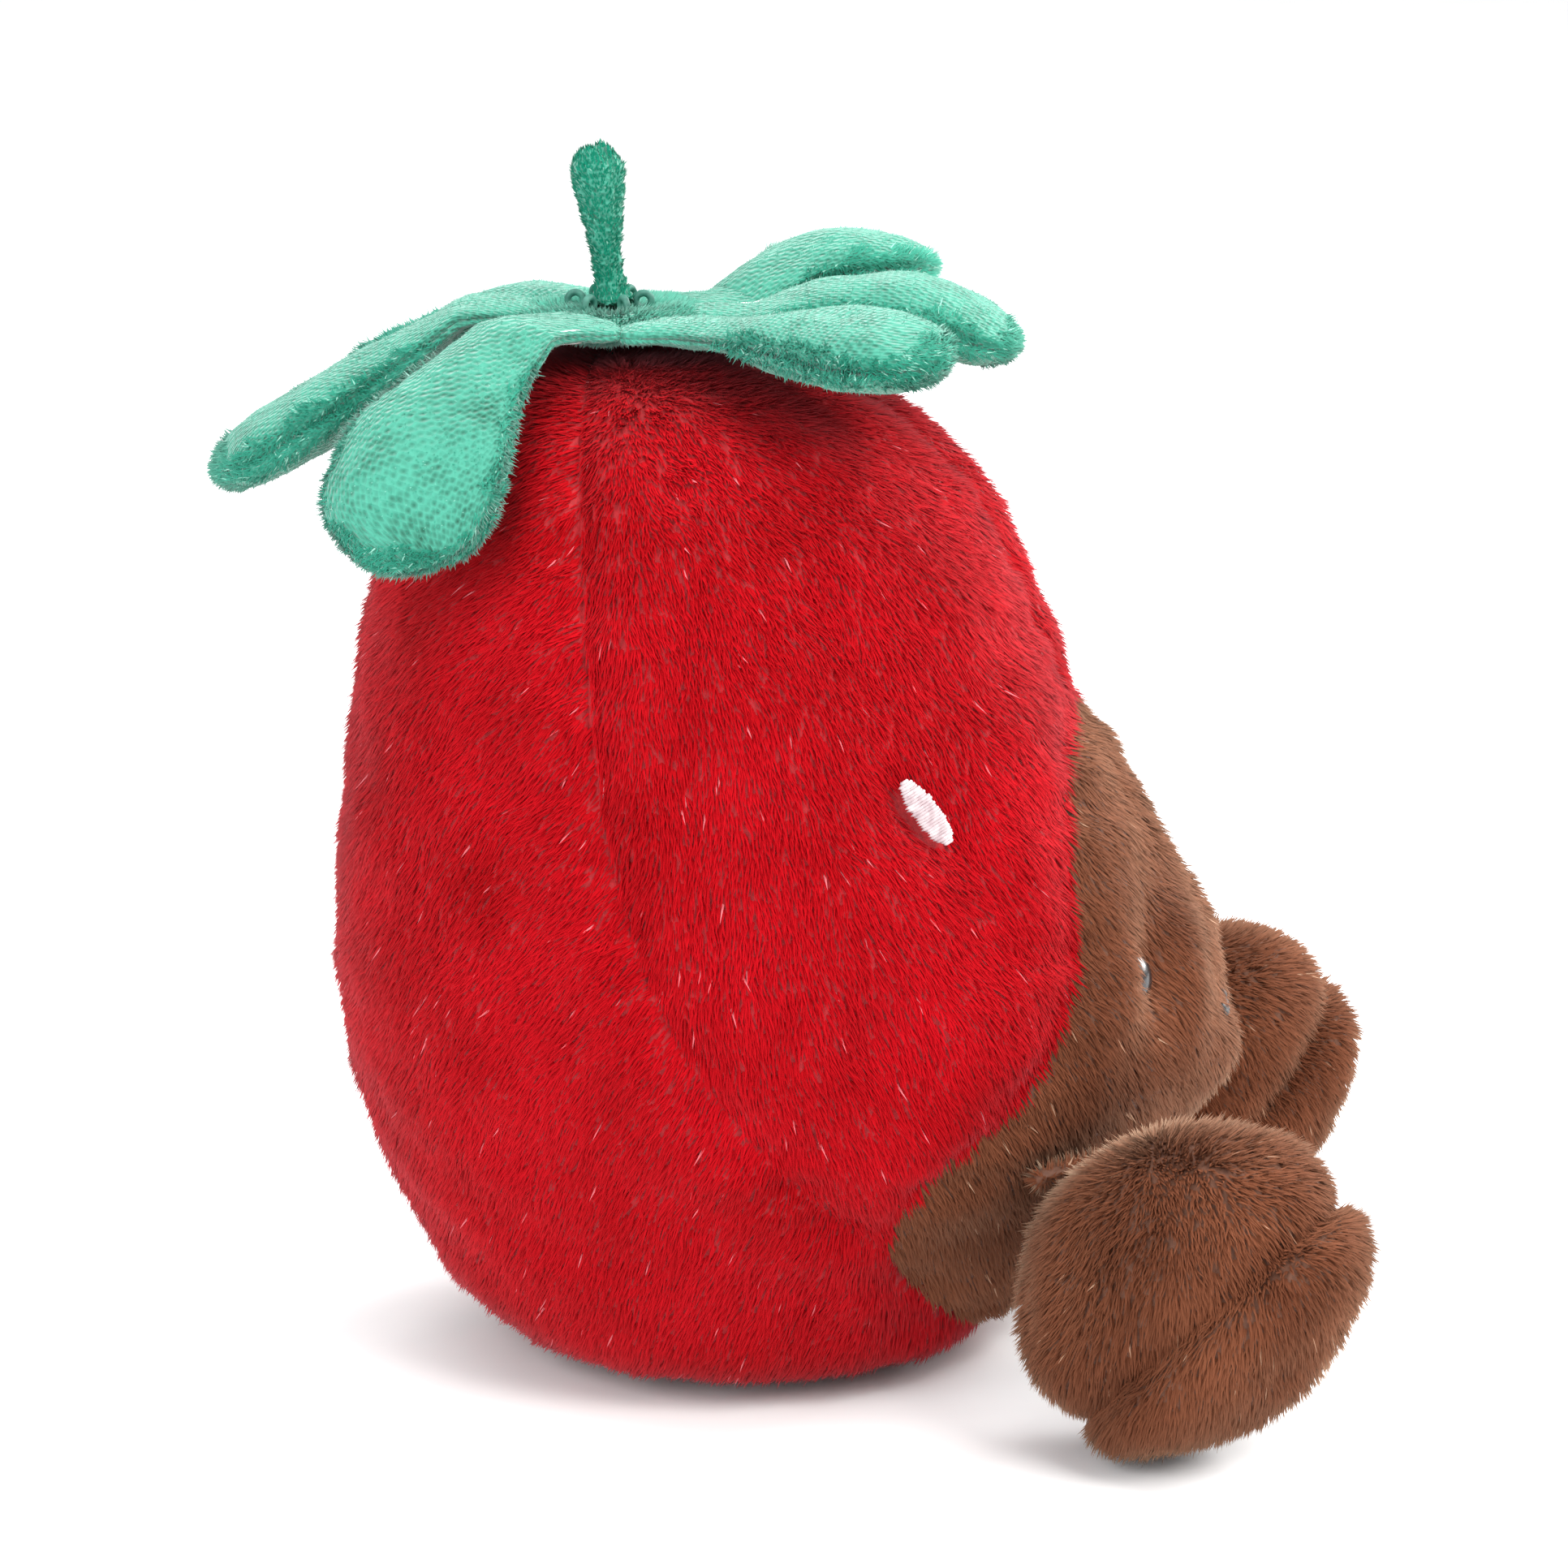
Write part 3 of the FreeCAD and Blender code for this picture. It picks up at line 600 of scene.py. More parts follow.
@dataclass(frozen=True)
class PileFinish:
    """Dyed fibre in a few shades from dark to light, one to each tuft by its tone, and a glint shade that
    is a painted highlight.
    """

    name: str
    dark: tuple[float, float, float]
    light: tuple[float, float, float]
    glow: tuple[float, float, float]
    shades: int = 6
    rough: float = 0.7
    shine: float = 0.03
    sheen: float = 0.02

    def make(self) -> list[bpy.types.Material]:
        """Makes the shades, evenly spaced from dark to light, and then the glint, a painted highlight.

        Returns:
            One material for each shade.
        """
        made = []
        share = np.linspace(0, 1, self.shades)[:, None]
        # The last colour is the glint: the light shade pulled towards the glow colour, a painted highlight.
        colours = np.concatenate([np.array(self.dark) * (1 - share) + np.array(self.light) * share,
                                  0.28 * np.array([self.glow]) + 0.72 * np.array([self.light])])
        for k, colour in enumerate(colours):
            finish, shader = new_finish(f"{self.name}_shade_{k + 1}")
            set_inputs(shader, {"Base Color": (*colour.tolist(), 1), "Roughness": self.rough,
                                "Specular IOR Level": self.shine, "Sheen Weight": self.sheen,
                                "Sheen Roughness": 0.45, "Sheen Tint": (*self.glow, 1)})
            made.append(finish)
        return made


@dataclass(frozen=True)
class ClothFinish:
    """Backing cloth: uneven dye and the small bumps of a knit, on cloth coordinates in millimetres."""

    name: str
    dark: tuple[float, float, float]
    light: tuple[float, float, float]
    pitch: float = 0.8
    depth: float = 0.35
    sheen: float = 0.3
    rough: float = 0.8
    glow: tuple[float, float, float] = (1.0, 1.0, 1.0)

    def make(self) -> bpy.types.Material:
        """Makes the material: two crossed waves make the knit, and noise makes the dye uneven. The knit
        also lightens the colour where it stands high, a painted highlight on its loops and painted shade in
        its hollows.

        Returns:
            The material.
        """
        finish, shader = new_finish(self.name)
        nodes = finish.node_tree.nodes
        weave = nodes.new("ShaderNodeAttribute")
        weave.attribute_name = "weave"
        wales = nodes.new("ShaderNodeTexWave")
        wales.wave_type, wales.bands_direction = "BANDS", "DIAGONAL"
        set_inputs(wales, {"Scale": 0.314 / self.pitch, "Distortion": 2.4, "Detail": 1.0})
        courses = nodes.new("ShaderNodeTexVoronoi")
        set_inputs(courses, {"Scale": 1.0 / self.pitch, "Randomness": 0.35})
        dye = nodes.new("ShaderNodeTexNoise")
        set_inputs(dye, {"Scale": 0.22, "Detail": 5.0})
        for texture in (wales, courses, dye):
            joined(finish, weave.outputs["Vector"], texture.inputs["Vector"])
        knit = nodes.new("ShaderNodeMath")
        knit.operation = "MULTIPLY_ADD"
        joined(finish, wales.outputs["Fac"], knit.inputs[0])
        knit.inputs[1].default_value = 0.28
        joined(finish, courses.outputs["Distance"], knit.inputs[2])
        # The tone adds the knit's height to the dye: painted shade in the knit's hollows and painted
        # highlight on its loops.
        tone = nodes.new("ShaderNodeMath")
        tone.operation = "MULTIPLY_ADD"
        joined(finish, knit.outputs[0], tone.inputs[0])
        tone.inputs[1].default_value = 0.7
        joined(finish, dye.outputs["Fac"], tone.inputs[2])
        coloured(finish, tone.outputs[0], (0.45, 1.25), self.dark, self.light)
        bumped(finish, knit.outputs[0], self.depth, 0.0003)
        set_inputs(shader, {"Roughness": self.rough, "Sheen Weight": self.sheen,
                            "Sheen Roughness": 0.4, "Sheen Tint": (*self.glow, 1)})
        return finish


@dataclass(frozen=True)
class MouldedFinish:
    """Plastic or thread: a colour that varies slightly with a fine noise, and a light grain."""

    name: str
    dark: tuple[float, float, float]
    light: tuple[float, float, float]
    grain: float = 900.0
    rough: float = 0.45
    coat: float = 0.0
    bump: float = 0.08
    sheen: float = 0.0

    def make(self) -> bpy.types.Material:
        """Makes the material from noise on the piece's own place.

        Returns:
            The material.
        """
        finish, shader = new_finish(self.name)
        nodes = finish.node_tree.nodes
        place = nodes.new("ShaderNodeTexCoord")
        noise = nodes.new("ShaderNodeTexNoise")
        set_inputs(noise, {"Scale": self.grain, "Detail": 4.0})
        joined(finish, place.outputs["Object"], noise.inputs["Vector"])
        coloured(finish, noise.outputs["Fac"], (0.3, 0.7), self.dark, self.light)
        bumped(finish, noise.outputs["Fac"], self.bump, 0.0001)
        set_inputs(shader, {"Roughness": self.rough, "Coat Weight": self.coat, "Sheen Weight": self.sheen})
        return finish


RED_PILE = PileFinish("red_pile", (0.27, 0.0006, 0.002), (0.50, 0.003, 0.009),
                      (1.0, 0.50, 0.55), sheen=0.22)
BROWN_PILE = PileFinish("brown_pile", (0.085, 0.024, 0.011), (0.22, 0.074, 0.036),
                        (1.0, 0.72, 0.50), sheen=0.35)
LEAF_PILE = PileFinish("leaf_pile", (0.006, 0.16, 0.10), (0.065, 0.39, 0.28),
                       (0.75, 1.0, 0.90), sheen=0.35)
STEM_PILE = PileFinish("stem_pile", (0.002, 0.12, 0.07), (0.012, 0.26, 0.16),
                       (0.75, 1.0, 0.90), sheen=0.10)
# The red and brown backings are coloured darker than their pile: painted shade at the pile's roots.
RED_CLOTH = ClothFinish("red_backing", (0.20, 0.001, 0.003), (0.36, 0.003, 0.008), sheen=0.02)
BROWN_CLOTH = ClothFinish("brown_backing", (0.06, 0.020, 0.010), (0.13, 0.050, 0.026), sheen=0.05)
GREEN_CLOTH = ClothFinish("green_backing", (0.002, 0.085, 0.048), (0.045, 0.30, 0.21),
                          pitch=0.67, depth=1.0,
                          sheen=0.45, glow=(0.78, 1.0, 0.93))
FILL = ClothFinish("fibre_filling", (0.74, 0.74, 0.72), (0.93, 0.93, 0.91), pitch=1.6, depth=0.8)
POUCH = MouldedFinish("pouch_weave", (0.62, 0.60, 0.56), (0.86, 0.85, 0.82),
                      grain=1400, rough=0.9, bump=0.3)
PELLET = MouldedFinish("pellet_plastic", (0.70, 0.70, 0.68), (0.86, 0.86, 0.84), rough=0.4)
WASHER = MouldedFinish("washer_plastic", (0.74, 0.74, 0.73), (0.88, 0.88, 0.88), rough=0.5)
EYE = MouldedFinish("eye_plastic", (0.004, 0.004, 0.005), (0.010, 0.010, 0.012),
                    rough=0.22, coat=0.15, bump=0.01)
# The white seed thread is coloured a darker pinkish grey: painted shade and a painted red reflection from
# the pile round it.
WHITE_THREAD = MouldedFinish("white_thread", (0.30, 0.20, 0.22), (0.60, 0.52, 0.53),
                             rough=0.6, bump=0.3, sheen=0.1)
BLACK_THREAD = MouldedFinish("black_thread", (0.006, 0.005, 0.005), (0.03, 0.024, 0.022),
                             rough=0.5, bump=0.3)
RED_THREAD = MouldedFinish("red_thread", (0.22, 0.003, 0.008), (0.42, 0.01, 0.02), rough=0.6, bump=0.3)
GREEN_THREAD = MouldedFinish("green_thread", (0.016, 0.10, 0.075), (0.06, 0.24, 0.18),
                             rough=0.6, bump=0.3)


def thread_tube(paths: Grid, radius: float, around: int = 6) -> tuple[Grid, Grid]:
    """Tubes along paths that taper to closed ends: a ring about each path point, shrunk at the ends.

    Args:
        paths: Paths as an array of path, point and coordinate.
        radius: The thread's radius.
        around: Corners in a ring.

    Returns:
        Corners and faces of all tubes.
    """
    run = unit(np.gradient(paths, axis=1))
    side = unit(np.cross(run, unit(np.array([0.31, 0.83, 0.46]))))
    lift = np.cross(run, side)
    turn = np.arange(around) * 2 * np.pi / around
    share = np.linspace(0, 1, paths.shape[1])
    size = radius * np.sqrt(np.clip(1 - np.abs(2 * share - 1) ** 12, 0.0, 1))[None, :, None, None]
    rings = paths[:, :, None] + size * (np.cos(turn)[:, None] * side[:, :, None]
                                        + np.sin(turn)[:, None] * lift[:, :, None])
    count, rows = paths.shape[:2]
    n = np.arange(count * rows * around).reshape(count, rows, around)
    nxt = np.roll(n, -1, axis=2)
    faces = np.stack([n[:, :-1], nxt[:, :-1], nxt[:, 1:], n[:, 1:]], -1).reshape(-1, 4)
    return rings.reshape(-1, 3), faces


# ---- the body -----------------------------------------------------------------------------------
@dataclass
class Place:
    """A spot on the body with its outward direction and the way up along the cloth."""

    at: Grid
    out: Grid
    up: Grid

    @property
    def aside(self) -> Grid:
        """The direction across the other two."""
        return np.cross(self.up, self.out)


@dataclass
class BodyForm:
    """The body's outline, its seams as seen from the side, and the spots where things are sewn on."""

    height: float = 104.5
    width: float = 82.0
    back: float = 38.9
    front: float = 55.4
    pinch: float = 0.25
    table: Grid = field(default_factory=lambda: np.array([
        (0.000, 0.514, 0.487, 0.537, 0.30), (0.020, 0.617, 0.578, 0.646, 0.50),
        (0.060, 0.720, 0.670, 0.737, 0.80), (0.140, 0.830, 0.780, 0.810, 1.00),
        (0.230, 0.933, 0.935, 0.900, 1.00), (0.300, 0.977, 1.000, 0.965, 0.90),
        (0.375, 0.997, 0.974, 1.000, 0.60), (0.470, 1.000, 0.884, 0.995, 0.30),
        (0.565, 0.982, 0.798, 0.963, 0.12), (0.655, 0.951, 0.715, 0.915, 0.04),
        (0.740, 0.925, 0.643, 0.854, 0.00), (0.820, 0.869, 0.574, 0.771, 0.00),
        (0.890, 0.790, 0.490, 0.673, 0.00), (0.945, 0.700, 0.370, 0.551, 0.00),
        (0.980, 0.600, 0.235, 0.415, 0.00), (1.000, 0.440, 0.080, 0.232, 0.00)]))
    side_seam: tuple = ((-.190, 1.072), (-.190, .957), (-.177, .852), (-.157, .744), (-.114, .590),
                        (-.007, .433), (.112, .335), (.235, .254), (.356, .188))
    face_top: tuple = ((1.3, .678), (.903, .676), (.690, .666), (.662, .632), (.664, .579), (.672, .512),
                       (.681, .440), (.632, .364), (.566, .320), (.470, .276), (.388, .230), (.356, .188))
    face_low: tuple = ((.356, .188), (.383, .147), (.451, .090), (.523, .042), (.556, -.06))

    def point(self, share: Grid, turn: Grid, inset: float | Grid = 0.0) -> Grid:
        """Points of the outline: an oval at each height whose reaches come from the table.

        Args:
            share: Shares of the height.
            turn: Turns from straight ahead, to the toy's right.
            inset: How far inside the outline.

        Returns:
            The points.
        """
        share, turn = np.broadcast_arrays(np.asarray(share, float), np.asarray(turn, float))
        rows = smooth_rows(self.table, share)
        back, front = rows[..., 0] * self.back - inset, rows[..., 1] * self.front - inset
        half = rows[..., 2] * self.width / 2 - inset
        ahead, aside = np.cos(turn), np.sin(turn)
        aside = aside - np.where(ahead > 0, self.pinch * rows[..., 3] * np.sin(2 * turn) * ahead, 0)
        return axes((front - back) / 2 + ahead * (front + back) / 2, aside * half,
                    inset + share * (self.height - 2 * inset))

    def place(self, share: float, degrees: float, side: Side, inset: float = 0.0) -> Place:
        """A spot on the body.

        Args:
            share: its height, from 0 at the seat to 1 at the crown.
            degrees: its turn from straight ahead.
            side: the side it turns to.
            inset: millimetres that it lies under the surface.

        Returns:
            The spot, the way out of the body there and the way up.
        """
        turn, step = math.radians(degrees), 0.004
        at = self.point(share, side.value * turn, inset)
        up = self.point(share + step, side.value * turn) - self.point(share - step, side.value * turn)
        over = self.point(share, side.value * (turn + step)) - self.point(share, side.value * (turn - step))
        out = unit(np.cross(over, up) * side.value)
        if (out * (at - np.array([0, 0, at[2]]))).sum() < 0:
            out = -out
        return Place(at, out, unit(up))

    def surface(self, rows: int, columns: int, inset: float) -> Surface:
        """The closed outline as a grid: a flat seat, the sides and a flat crown.

        Rows are evenly spaced along the profile; on the seat and crown they shrink to a pole.

        Args:
            rows: Rows from the seat's middle to the crown's.
            columns: Columns round.
            inset: How far inside the outline.

        Returns:
            The surface, with its cloth coordinates.
        """
        fine = 0.5 - 0.5 * np.cos(np.linspace(0, np.pi, 500))
        edge = self.point(fine, np.full(500, 2.2), inset)
        seat_low, seat_high = self.point(np.zeros(2), np.array([0.0, math.pi]), inset)
        reach = np.linalg.norm(seat_low - seat_high) / 2
        run = np.concatenate([[0], np.cumsum(np.linalg.norm(np.diff(edge, axis=0), axis=1))])
        crown = 8.0
        along = np.linspace(-reach, run[-1] + crown, rows)
        share = np.interp(along, run, fine)
        turn = np.arange(columns) * 2 * np.pi / columns
        points = self.point(share[:, None], turn[None, :], inset)
        middle = points.mean(1, keepdims=True)
        size = np.where(along < 0, 1 + along / reach, np.where(
            along > run[-1], 1 - (along - run[-1]) / crown, 1.0))
        points = middle + (points - middle) * size[:, None, None]
        weave = np.stack(np.broadcast_arrays(turn[None, :] * self.width / 2, along[:, None], 0.0), -1)
        return Surface(points, weave)

    def flat(self, points: Grid) -> Grid:
        """Points as seen from the side, in shares of the front's reach and of the height."""
        return np.stack([-points[..., 1] / self.front, points[..., 2] / self.height], -1)

    def lined(self, line: tuple) -> Grid:
        """A seam line made finer with a smooth curve through its corners.

        Args:
            line: its corners, in shares of the body's depth and height.

        Returns:
            Eight times as many points, in the same shares.
        """
        rows = np.array(line)
        table = np.column_stack([np.arange(len(rows)), rows])
        return smooth_rows(table, np.linspace(0, len(rows) - 1, 8 * len(rows)))

    def seam_distance(self, points: Grid) -> Grid:
        """The distance from points to the nearest seam of the body.

        Args:
            points: places on the body, in millimetres.

        Returns:
            The distances in millimetres.
        """
        size = np.array([self.front, self.height])
        seen = self.flat(points) * size
        near = np.full(points.shape[:-1], 99.0)
        for line in (self.side_seam, self.face_top, self.face_low):
            near = np.minimum(near, line_distance(seen, self.lined(line) * size))
        upper = (self.zone(points) >= 2)
        return np.where(upper, np.minimum(near, np.abs(points[..., 0])), near)

    def zone(self, points: Grid) -> Grid:
        """Which panel points lie in.

        Args:
            points: places on the body, in millimetres.

        Returns:
            0 for face, 1 for back, 2 for right side and 3 for left side.
        """
        seen = self.flat(points)
        top, low, side = (self.lined(line) for line in (self.face_top, self.face_low, self.side_seam))
        face = inside(seen, np.concatenate([top, low[1:], [[1.3, -0.06]]]))
        back = inside(seen, np.concatenate([side, low[1:], [[-1.5, -0.06], [-1.5, 1.072]]]))
        return np.where(face, 0, np.where(back, 1, np.where(points[..., 0] < 0, 2, 3)))


@dataclass
class Body:
    """The stuffed body: four cloth panels, their pile, and what is sewn into them."""

    form: BodyForm = field(default_factory=BodyForm)
    cloth_in: float = 2.0
    cloth: float = 0.6
    rows: int = 150
    columns: int = 240
    eye: tuple[float, float] = (0.422, 28.0)
    eye_radius: float = 3.1
    seed: tuple[float, float] = (0.617, 56.0)
    seed_size: tuple[float, float] = (3.0, 7.6)
    seed_lean: float = 20.0
    mouth_height: float = 0.360
    mouth_radius: float = 3.4
    pile: Pile = field(default_factory=lambda: Pile(2.1, 0.19, 8.2, 0.70, 21))

    def seed_frame(self, side: Side) -> tuple[Grid, Grid, Grid, Grid]:
        """Where a seed lies and how it is turned.

        Args:
            side: the seed's side of the body.

        Returns:
            Its middle, its long direction, its short direction and the way out.
        """
        spot = self.form.place(*self.seed, side)
        lean = math.radians(90 + side.value * self.seed_lean)
        x = np.cross(np.cross(spot.out, spot.up), spot.out)
        x = unit(x)
        y = np.cross(spot.out, x)
        long = -math.sin(lean) * x + math.cos(lean) * y
        return spot.at, long, np.cross(spot.out, long), spot.out

    def relief(self, points: Grid) -> Grid:
        """How far the cloth stands out or sinks: seams, eye dimples, seeds, mouth and soft lumps.

        Each is a bump that falls away from a line or a spot, and the lumps are uneven fields.

        Args:
            points: The cloth's points.

        Returns:
            Movement outwards in millimetres.
        """
        seam = self.form.seam_distance(points)
        lift = -0.75 * bell(seam, 1.6) + 0.45 * bell(seam - 5.0, 3.0)
        lift = lift + 0.28 * bell(seam, 5.0) * np.sin(points[..., 2] * 2 * np.pi / 5.6
                                                      + 2 * ripple(points, 18.0, 5))
        for side in Side:
            spot = self.form.place(*self.eye, side)
            away = points - spot.at
            ahead = away @ np.array([side.value * 0.45, -0.89, 0.0])
            down = away[..., 2]
            lift = lift - 1.9 * bell(np.hypot(ahead + 0.3, down * 0.7), 3.2)
            lift = lift + 1.7 * bell(np.hypot(ahead - 5.2, down * 0.36 + 0.6), 2.9)
            lift = lift + 0.9 * bell(np.hypot(ahead + 4.6, down * 0.5), 2.8)
            centre, long, short, _ = self.seed_frame(side)
            far = np.hypot((points - centre) @ long / 1.9, (points - centre) @ short)
            depth = np.abs((points - centre) @ np.cross(long, short)) < 12
            lift = lift - 1.25 * bell(far, 2.6) * depth
        mouth = self.form.place(self.mouth_height, 0.0, Side.RIGHT)
        lift = lift - 1.0 * bell(np.hypot(points[..., 0] / 1.6, points[..., 2] - mouth.at[2]), 2.6) * (
            points[..., 1] < 0)
        lift = lift + 0.55 * ripple(points, 30.0, 3) + 0.3 * ripple(points, 12.0, 4)
        top = np.clip((points[..., 2] - 96.0) / 6.0, 0, 1)
        low = np.clip(1 - points[..., 2] / 8.0, 0, 1)
        return lift * (1 - 0.7 * np.maximum(top, low))

    def comb(self, points: Grid, out: Grid) -> Grid:
        """The way the body's pile lies: down, and forwards or backwards by its panel.

        Args:
            points: the tufts' roots, in millimetres.
            out: the way out of the cloth at each; not used here.

        Returns:
            A direction for each tuft, of any length.
        """
        way = np.zeros_like(points)
        way[:, 2] = -1.0
        lean = np.where(self.form.zone(points) == 1, 0.55, -0.35)
        way[:, 1] = 0.3 * ripple(points, 45.0, 8) + lean
        way[:, 0] = 0.25 * ripple(points, 38.0, 9)
        return way

    def build(self) -> None:
        """Makes the panels, the pile and the filling."""
        coarse = self.form.surface(64, 96, self.cloth_in)
        held = np.clip(1.15 - self.form.seam_distance(coarse.points) / 4.0, 0, 1)
        held = np.maximum(held, np.clip(1.5 - coarse.points[..., 2] / 4.0, 0, 1))
        held = np.maximum(held, np.clip((coarse.points[..., 2] - 97.0) / 3.0, 0, 1))
        moved = Stuffing(pressure=3.0, most=1.1).fill_out(coarse, held)
        smooth = self.form.surface(self.rows, self.columns, self.cloth_in)
        surface = Surface(smooth.points + spread(moved, self.rows, self.columns), smooth.weave)
        surface = surface.pushed(self.relief(surface.points))
        surface.points[..., 2] = np.maximum(surface.points[..., 2], 1.1)
        points, normals = surface.points.reshape(-1, 3), surface.normals().reshape(-1, 3)
        quads = surface.quads()
        zones = self.form.zone(points[quads].mean(1))
        red, brown = RED_CLOTH.make(), BROWN_CLOTH.make()
        red_shades, brown_shades = RED_PILE.make(), BROWN_PILE.make()
        nodes = ("face_panel", "back_panel", "right_side_panel", "left_side_panel")
        for k, node in enumerate(nodes):
            panel = put_cloth(f"{node}_cloth", surface, zones == k, self.cloth, brown if k == 0 else red)
            seat(panel, "root", node)
            log.info("%s: %d faces", panel.name, len(panel.data.polygons))
        self.put_piles(points, normals, quads, red_shades, brown_shades)
        self.put_filling(surface)

    def put_piles(self, points: Grid, normals: Grid, quads: Grid, red: list[bpy.types.Material],
                  brown: list[bpy.types.Material]) -> None:
        """Grows the pile over the whole body, clears it off the eyes and seeds, and shares it out.

        Args:
            points: The cloth's points in one row.
            normals: Their outward directions.
            quads: The cloth's faces.
            red: Shades for the red panels.
            brown: Shades for the face panel.
        """
        tufts = self.pile.grow(points, normals, quads, self.comb, self.pile_height)
        roots = tufts.roots
        keep = np.ones(len(roots), bool)
        for side in Side:
            spot = self.form.place(*self.eye, side)
            keep &= np.linalg.norm(roots - spot.at, axis=1) > self.eye_radius * 0.55
            centre, long, short, _ = self.seed_frame(side)
            far = np.hypot((roots - centre) @ long / (self.seed_size[1] / 2 + 0.1),
                           (roots - centre) @ short / (self.seed_size[0] / 2 + 0.05))
            keep &= (far > 1) | (np.linalg.norm(roots - centre, axis=1) > 9)
        tufts = tufts.chosen(keep)
        zones = self.form.zone(tufts.roots)
        across, high = tufts.roots[:, 0] < 0, tufts.roots[:, 2] > self.form.height / 2
        parts = {"face_panel_pile": (zones == 0, brown, "brown_plush"),
                 "back_panel_pile_right_high": ((zones == 1) & across & high, red, "red_plush"),
                 "back_panel_pile_right_low": ((zones == 1) & across & ~high, red, "red_plush"),
                 "back_panel_pile_left_high": ((zones == 1) & ~across & high, red, "red_plush"),
                 "back_panel_pile_left_low": ((zones == 1) & ~across & ~high, red, "red_plush"),
                 "right_side_panel_pile": (zones == 2, red, "red_plush"),
                 "left_side_panel_pile": (zones == 3, red, "red_plush")}
        for name, (chosen, shades, slot) in parts.items():
            piece = put_pile(name, tufts.chosen(chosen), shades)
            seat(piece, "root")
            log.info("%s: %d tufts", name, chosen.sum())

    def pile_height(self, points: Grid) -> Grid:
        """How long the pile stands: shorter round the seeds and under the seat.

        Args:
            points: the tufts' roots, in millimetres.

        Returns:
            A share of the full length for each tuft.
        """
        share = np.ones(len(points))
        for side in Side:
            share -= 0.5 * bell(np.linalg.norm(points - self.seed_frame(side)[0], axis=1), 4.0)
        return share * np.clip(0.5 + points[:, 2] / 6.0, 0.5, 1.0)

    def put_filling(self, surface: Surface) -> None:
        """The loose filling: the cloth's shape taken in, with a hollow for the pouch of pellets.

        Args:
            surface: The cloth.
        """
        outer = surface.pushed(np.full(surface.points.shape[:2], -self.cloth - 1.5))
        outer = Surface(outer.points[::3, ::3], outer.weave[::3, ::3])
        low, high = (np.array(corner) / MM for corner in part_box("pellet_pouch"))
        polar = np.linspace(0, np.pi, 24)[:, None]
        turn = np.arange(36)[None, :] * 2 * np.pi / 36
        ball = np.stack(np.broadcast_arrays(np.sin(polar) * np.cos(turn), np.sin(polar) * np.sin(turn),
                                            np.cos(polar)), -1)
        hollow = Surface((low + high) / 2 + ball * ((high - low) / 2 + 0.2), np.zeros(ball.shape))
        corners = np.concatenate([outer.points.reshape(-1, 3), hollow.points.reshape(-1, 3)])
        faces = np.concatenate([outer.quads(), hollow.quads()[:, ::-1] + outer.points[..., 0].size])
        fill = FILL.make()
        piece = put_mesh("body_filling", corners, [faces], [fill], weld=True, weave=corners)
        seat(piece, "root", "body_stuffing")


